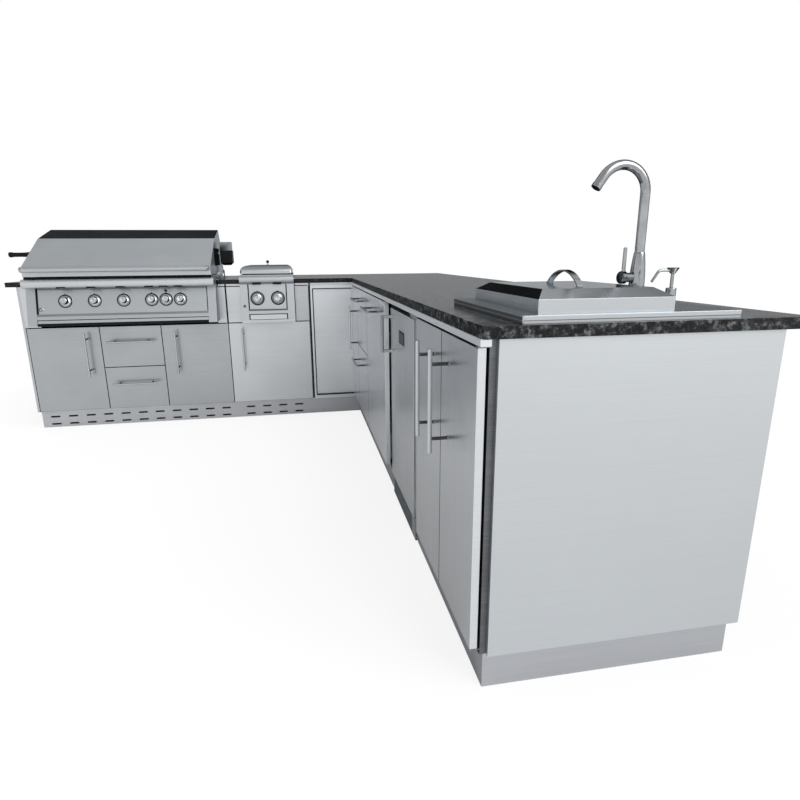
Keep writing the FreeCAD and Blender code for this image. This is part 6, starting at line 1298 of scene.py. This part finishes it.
@dataclass
class Fridge:
    """The built-in fridge with its door, handle, shelves and base grille."""

    face_x: float = -68.0
    badge_y: tuple[float, float] = (864.0, 966.0)
    badge_z: tuple[float, float] = (722.0, 772.0)
    badge_rim: float = 5.0
    vent_back: float = 2.0
    vent_y: tuple[float, float] = (697.0, 1165.0)
    vent_z: tuple[float, float] = (844.5, 866.0)
    louvres: int = 3

    def build(self) -> None:
        """Builds the fridge."""
        piece = Workpiece()
        piece.node("fridge_cabinet", self.cabinet_finish, 0.8)
        piece.finish("fridge_case", ISLAND, "steel", ["fridge_cabinet"])
        paint_nodes({"fridge_shelves": ClearGlass("tempered_shelf_glass")})
        piece = Workpiece()
        piece.node("fridge_door", self.door_finish, 1.2)
        piece.finish("fridge_door_panel", "fridge_door", "steel", ["fridge_door"])
        self.badge()
        self.vent()

    def badge(self) -> None:
        """A blank plate with a black rim on the door's upper far corner."""
        piece = Workpiece()
        x, (y0, y1), (z0, z1) = self.face_x, self.badge_y, self.badge_z
        piece.block((x - 1.6, y0, z0), (x, y1, z1), BLACK_NYLON_AND_SHADE, 1.0)
        rim = self.badge_rim
        piece.block((x - 2.4, y0 + rim, z0 + rim), (x - 1.0, y1 - rim, z1 - rim), STEEL_DARK_AND_SHADE, 0.4)
        piece.finish("fridge_blank_plate", "fridge_door", "black_metal")

    def vent(self) -> None:
        """A black louvred vent between the door and the counter's rail, black as painted shade of the gap."""
        piece = Workpiece()
        x, (y0, y1), (z0, z1) = self.face_x + self.vent_back, self.vent_y, self.vent_z
        piece.block((x + 4.0, y0, z0), (x + 7.0, y1, z1), BLACK_NYLON_AND_SHADE, 0.4)
        pitch = (z1 - z0) / self.louvres
        for i in range(self.louvres):
            z = z0 + pitch * (i + 0.5)
            piece.bar((x + 2.0, y0, z), (x + 2.0, y1, z), (1, 0, -0.5), 7.0, 1.2, BLACK_NYLON_AND_SHADE, 0.3)
        piece.finish("fridge_top_vent_shade", ISLAND, "black_metal")

    def cabinet_finish(self, low: Vector, high: Vector) -> Finish:
        """The base grille is bright, the case is plain brushed steel."""
        return STEEL_PLINTH if high.z < 110 else STEEL_Y

    def door_finish(self, low: Vector, high: Vector) -> Finish:
        """The gasket is vinyl, the sheet and bar are steel."""
        if high.x - low.x < 7 and high.z - low.z > 600:
            return BLACK_SEAL_AND_SHADE
        if high.z - low.z < 200:
            return STEEL_SATIN
        return SINK_DOOR_STEEL


@dataclass
class SinkUnit:
    """The sink deck and bowl, its cover, the faucet and the soap dispenser."""

    deck_top: float = 931.9
    deck_steps: tuple[float, float, float] = (920.4, 922.4, 929.6)
    deck_left: float = 0.0
    deck_near: float = -85.0
    faucet_x: float = 415.0
    faucet_y: float = 167.0
    base_radius: float = 25.0
    body_height: float = 126.0
    top_radius: float = 13.5
    spout_radius: float = 12.0
    spout_rise: float = 144.0
    bend_radius: float = 64.0
    bend_angle: float = 145.0
    tip_length: float = 34.0
    lever_rise: float = 63.0
    hub_x: float = 363.0
    hub_length: float = 17.0
    hub_radius: float = 16.0
    lever_top: float = 75.0
    soap_x: float = 421.0
    soap_y: float = 35.0

    def build(self) -> None:
        """Builds everything at the sink."""
        piece = Workpiece()
        piece.node("sink_unit", always(STEEL_X), 0.8)
        for level in self.deck_steps:
            piece.cut((0.0, 0.0, level), (0.0, 0.0, 1.0))
        low, mid, high = self.deck_steps
        # The deck's sides that face away from the light are painted dark steel: painted shade.
        piece.repaint(STEEL_DARK_AND_SHADE, lambda middle, facing: facing.x < -0.9 and middle.x < self.deck_left
                      and middle.z < high and not low < middle.z < mid)
        piece.repaint(STEEL_DARK_AND_SHADE, lambda middle, facing: facing.y < -0.9 and middle.y < self.deck_near
                      and low < middle.z < mid)
        piece.finish("sink_deck_and_bowl", ISLAND, "steel", ["sink_unit"])
        piece = Workpiece()
        piece.node("sink_drain", always(BRIGHT), 0.5)
        piece.finish("sink_drain_fitting", ISLAND, "steel", ["sink_drain"])
        self.cover()
        self.body()
        self.spout()
        self.lever()
        self.soap()

    def cover(self) -> None:
        """The hipped cover with its strap handle."""
        piece = Workpiece()
        piece.node("sink_cover", self.cover_finish, 0.3, 2, 12.0)
        piece.finish("sink_cover_shell", "sink_cover", "steel", ["sink_cover"], 9.0)

    def cover_finish(self, low: Vector, high: Vector) -> Finish:
        """The strap is buffed, the shell is brushed."""
        return BRIGHT if high.x - low.x < 50 else COVER_STEEL

    def body(self) -> None:
        """The faucet's body: a flared foot, a waist, and the stub that holds the lever."""
        piece = Workpiece()
        base, top, high = self.base_radius, self.top_radius, self.body_height
        origin = (self.faucet_x, self.faucet_y, self.deck_top)
        profile = [(0.0, 0.0), (base, 0.0), (base, 4.5), (base - 1.2, 6.0), (base - 4.0, 8.0),
                   (base - 5.2, 26.0), (base - 5.8, 52.0), (base - 6.6, 78.0), (base - 8.6, 100.0),
                   (top + 0.6, high - 6.0), (top, high - 1.5), (top - 1.2, high), (0.0, high)]
        piece.lathe(profile, origin, (0, 0, 1), FAUCET_CHROME_SHADED, 64)
        z = self.deck_top + self.lever_rise
        stub = self.hub_x + self.hub_length + 0.4
        piece.rod((stub, self.faucet_y, z), (self.faucet_x, self.faucet_y, z), 12.0, STEEL_DARK_AND_SHADE, ease=0.8)
        low = 887.0
        piece.rod((self.faucet_x, self.faucet_y, low - 20), (self.faucet_x, self.faucet_y, self.deck_top + 1),
                  12.0, BRASS)
        piece.rod((self.faucet_x, self.faucet_y, low - 10), (self.faucet_x, self.faucet_y, low), 24.0, BRASS,
                  sides=6)
        piece.finish("faucet_body_turned", ISLAND, "chrome", ["faucet_body"])

    def spout(self) -> None:
        """The spout: a riser, an arch and a tip with its aerator."""
        piece = Workpiece()
        x, y = self.faucet_x, self.faucet_y
        foot = self.deck_top + self.body_height + 0.4
        top = self.deck_top + self.body_height + self.spout_rise
        path = [(x, y, foot), (x, y, foot + 60), (x, y, top - 1)]
        steps = 28
        for i in range(steps + 1):
            angle = math.radians(self.bend_angle) * i / steps
            path.append((x - self.bend_radius + self.bend_radius * math.cos(angle), y,
                         top + self.bend_radius * math.sin(angle)))
        angle = math.radians(self.bend_angle)
        ahead = Vector((-math.sin(angle), 0, math.cos(angle)))
        end = Vector(path[-1])
        tip = end + ahead * self.tip_length
        path.append(tuple(end + ahead * (self.tip_length - 9.0)))
        piece.tube(path, self.spout_radius, FAUCET_CHROME_SHADED, 32)
        piece.rod(end + ahead * (self.tip_length - 10), tip, self.spout_radius + 0.7, FAUCET_CHROME_SHADED, ease=0.8)
        piece.rod(tip - ahead * 2.0, tip + ahead * 0.4, self.spout_radius - 2.5, BLACK_NYLON_AND_SHADE, ease=0.2)
        piece.rod((x, y, foot - 20), (x, y, foot + 1), 8.0, BRASS)
        piece.finish("faucet_spout_tube", "faucet_spout", "chrome", ["faucet_spout"])

    def lever(self) -> None:
        """The lever: a domed hub and a slim upright rod."""
        piece = Workpiece()
        z = self.deck_top + self.lever_rise
        r, length = self.hub_radius, self.hub_length
        piece.lathe([(0.0, 0.0), (r - 5.0, 0.0), (r - 2.0, 1.2), (r, 4.0), (r, length - 1.0),
                     (r - 1.0, length), (0.0, length)], (self.hub_x, self.faucet_y, z), (1, 0, 0), DARK_CHROME, 48)
        x = self.hub_x + length - 5.5
        piece.rod((x, self.faucet_y, z + r / 2), (x, self.faucet_y, z + self.lever_top), 5.0, FAUCET_CHROME_SHADED,
                  far_radius=4.4, ease=1.8)
        piece.finish("faucet_lever_turned", "faucet_lever", "chrome", ["faucet_lever"])

    def soap(self) -> None:
        """The soap dispenser: collar, bottle, plunger, funnel cap and spout."""
        piece = Workpiece()
        x, y, z = self.soap_x, self.soap_y, self.deck_top
        piece.lathe([(0.0, 0.0), (14.0, 0.0), (14.0, 1.6), (12.4, 2.4), (12.0, 4.0), (12.0, 41.0), (11.0, 43.0),
                     (4.1, 43.0), (4.1, 30.0), (0.0, 30.0)], (x, y, z), (0, 0, 1), FAUCET_CHROME_SHADED, 40)
        piece.node("soap_dispenser", self.below_deck, 1.5)
        piece.finish("soap_collar_and_bottle", ISLAND, "chrome", ["soap_dispenser"])
        piece = Workpiece()
        low = z + 43.0
        piece.lathe([(0.0, -14.0), (3.95, -14.0), (3.95, 33.0), (7.0, 34.0), (8.0, 37.0), (13.4, 45.6),
                     (14.0, 46.4), (13.4, 47.0), (9.0, 46.2), (0.0, 45.6)], (x, y, low), (0, 0, 1), FAUCET_CHROME_SHADED, 40)
        arm = low + 40.5
        path = [(x, y, arm), (x - 20, y, arm + 0.6), (x - 33, y, arm + 0.2), (x - 37, y, arm - 1.6),
                (x - 40, y, arm - 5.0), (x - 47, y, arm - 16.0), (x - 53.5, y, arm - 25.5)]
        piece.tube(path, 3.5, FAUCET_CHROME_SHADED, 16, 3.0)
        piece.finish("soap_pump_head", "soap_pump", "chrome", ["soap_pump"])

    def below_deck(self, low: Vector, high: Vector) -> Optional[Finish]:
        """Keeps only the bottle of the model's dispenser."""
        return BOTTLE if high.z < 900 else None


@dataclass
class Studio:
    """Camera, light, floor and world."""

    lens: float = 25.02
    place: Point = (-0.4603, -1.1740, 1.0535)
    yaw: float = 0.182
    pitch: float = 0.254
    roll: float = -0.007
    floor_size: float = 80.0
    sun_strength: float = 2.0
    sky_strength: float = 0.75
    front_gain: float = 1.3
    floor_glow: float = 0.05
    rear_wall: tuple[tuple[float, str], ...] = ((0.0, "#D6D8DA"), (0.14, "#BCBEC0"), (0.25, "#08090A"),
                                                (0.56, "#08090A"), (0.66, "#B2B3B4"), (0.8, "#E9EAEB"))
    left_wall: tuple[tuple[float, str], ...] = ((0.0, "#C6C8CA"), (0.3, "#C6C8CA"), (0.42, "#46484A"),
                                                (0.56, "#46484A"), (0.66, "#B2B3B4"), (0.8, "#E9EAEB"))
    front_wall: tuple[tuple[float, str], ...] = ((0.0, "#FAFAFA"), (0.12, "#E6E6E6"), (0.3, "#BBBCBD"),
                                                 (0.8, "#B4B5B6"))

    def build(self) -> None:
        """Sets up the studio."""
        self.camera()
        self.floor()
        self.world()
        self.lamps()
        bpy.context.scene.view_settings.view_transform = "Standard"

    def camera(self) -> None:
        """The camera at the photograph's place and angle."""
        data = bpy.data.cameras.new("camera")
        data.lens = self.lens
        data.sensor_width = 36.0
        data.clip_end = 200.0
        camera = bpy.data.objects.new("camera", data)
        ahead = Vector((math.sin(self.yaw) * math.cos(self.pitch), math.cos(self.yaw) * math.cos(self.pitch),
                        -math.sin(self.pitch)))
        right = Vector((math.cos(self.yaw), -math.sin(self.yaw), 0.0))
        up = right.cross(ahead)
        right, up = (right * math.cos(self.roll) + up * math.sin(self.roll),
                     up * math.cos(self.roll) - right * math.sin(self.roll))
        turn = Matrix((right, up, -ahead)).transposed().to_4x4()
        camera.matrix_world = Matrix.Translation(self.place) @ turn
        bpy.context.scene.collection.objects.link(camera)
        bpy.context.scene.camera = camera

    def floor(self) -> None:
        """A plain pale floor that is white to the camera and keeps a soft shadow."""
        bm = bmesh.new()
        bmesh.ops.create_grid(bm, x_segments=1, y_segments=1, size=self.floor_size / 2)
        mesh = bpy.data.meshes.new("floor")
        bm.to_mesh(mesh)
        bm.free()
        floor = bpy.data.objects.new("floor", mesh)
        bpy.context.scene.collection.objects.link(floor)
        material = bpy.data.materials.new("pale_floor")
        material.use_nodes = True
        tree = material.node_tree
        tree.nodes.clear()
        rays = add_node(tree, "LightPath").outputs
        plain = add_node(tree, "BsdfDiffuse", {"Color": linear("#EDEDED")}).outputs[0]
        glow = add_node(tree, "Emission", {"Color": (1, 1, 1, 1), "Strength": 1.04}).outputs[0]
        dim = add_node(tree, "Emission", {"Color": linear("#E8E9EA"), "Strength": 1.0}).outputs[0]
        seen = add_node(tree, "Math", {0: rays["Is Camera Ray"], 1: 0.8}, operation="MULTIPLY").outputs[0]
        lit = add_node(tree, "MixShader", {0: seen, 1: plain, 2: glow}).outputs[0]
        mirrored = add_node(tree, "MixShader", {0: self.floor_glow, 1: plain, 2: dim}).outputs[0]
        mixed = add_node(tree, "MixShader", {0: rays["Is Glossy Ray"], 1: lit, 2: mirrored}).outputs[0]
        add_node(tree, "OutputMaterial", {"Surface": mixed})
        mesh.materials.append(material)

    def world(self) -> None:
        """White to the eye and in reflections near the horizon, darker overhead, soft for light."""
        world = bpy.data.worlds.new("studio")
        bpy.context.scene.world = world
        world.use_nodes = True
        tree = world.node_tree
        tree.nodes.clear()
        rays = add_node(tree, "LightPath").outputs
        look = add_node(tree, "TexCoord").outputs["Generated"]
        ahead = add_node(tree, "SeparateXYZ", {"Vector": look}).outputs
        rear = add_node(tree, "ValToRGB", {"Fac": ahead["Z"]}, stops=self.rear_wall).outputs["Color"]
        front = add_node(tree, "ValToRGB", {"Fac": ahead["Z"]}, stops=self.front_wall).outputs["Color"]
        left = add_node(tree, "ValToRGB", {"Fac": ahead["Z"]}, stops=self.left_wall).outputs["Color"]
        side = add_node(tree, "MapRange", {"Value": ahead["X"], "From Min": -0.16, "From Max": -0.04})
        rear = add_node(tree, "Mix", {0: side.outputs["Result"], 6: left, 7: rear},
                        data_type="RGBA").outputs[2]
        front = add_node(tree, "VectorMath", {0: front, "Scale": self.front_gain},
                         operation="SCALE").outputs[0]
        back = add_node(tree, "MapRange", {"Value": ahead["Y"], "From Min": 0.0, "From Max": 0.3},
                        interpolation_type="SMOOTHSTEP").outputs["Result"]
        dome = add_node(tree, "Mix", {0: back, 6: front, 7: rear}, data_type="RGBA").outputs[2]
        level = (self.sky_strength,) * 3 + (1.0,)
        glossy = add_node(tree, "Math", {0: rays["Is Glossy Ray"], 1: rays["Is Transmission Ray"]},
                          operation="MAXIMUM").outputs[0]
        shown = add_node(tree, "Mix", {0: glossy, 6: level, 7: dome}, data_type="RGBA").outputs[2]
        white = add_node(tree, "Mix", {0: rays["Is Camera Ray"], 6: shown, 7: (1, 1, 1, 1)},
                         data_type="RGBA").outputs[2]
        back = add_node(tree, "Background", {"Color": white, "Strength": 1.0})
        add_node(tree, "OutputWorld", {"Surface": back.outputs[0]})

    def lamps(self) -> None:
        """One broad soft key from the front right."""
        data = bpy.data.lights.new("key", "SUN")
        data.energy = self.sun_strength
        data.angle = math.radians(50)
        key = bpy.data.objects.new("key", data)
        key.rotation_euler = Vector((-0.75, 1.0, -0.9)).to_track_quat("-Z", "Y").to_euler()
        bpy.context.scene.collection.objects.link(key)


def main() -> None:
    """Builds the studio and the island."""
    logging.basicConfig(level=logging.INFO, format="%(name)s %(message)s")
    Studio().build()
    for group in (Cabinets(), Fronts(), Stone(), Controls(), Grill(), SideBurner(), Fridge(), SinkUnit()):
        log.info("%s", type(group).__name__)
        group.build()


if __name__ == "__main__":
    main()
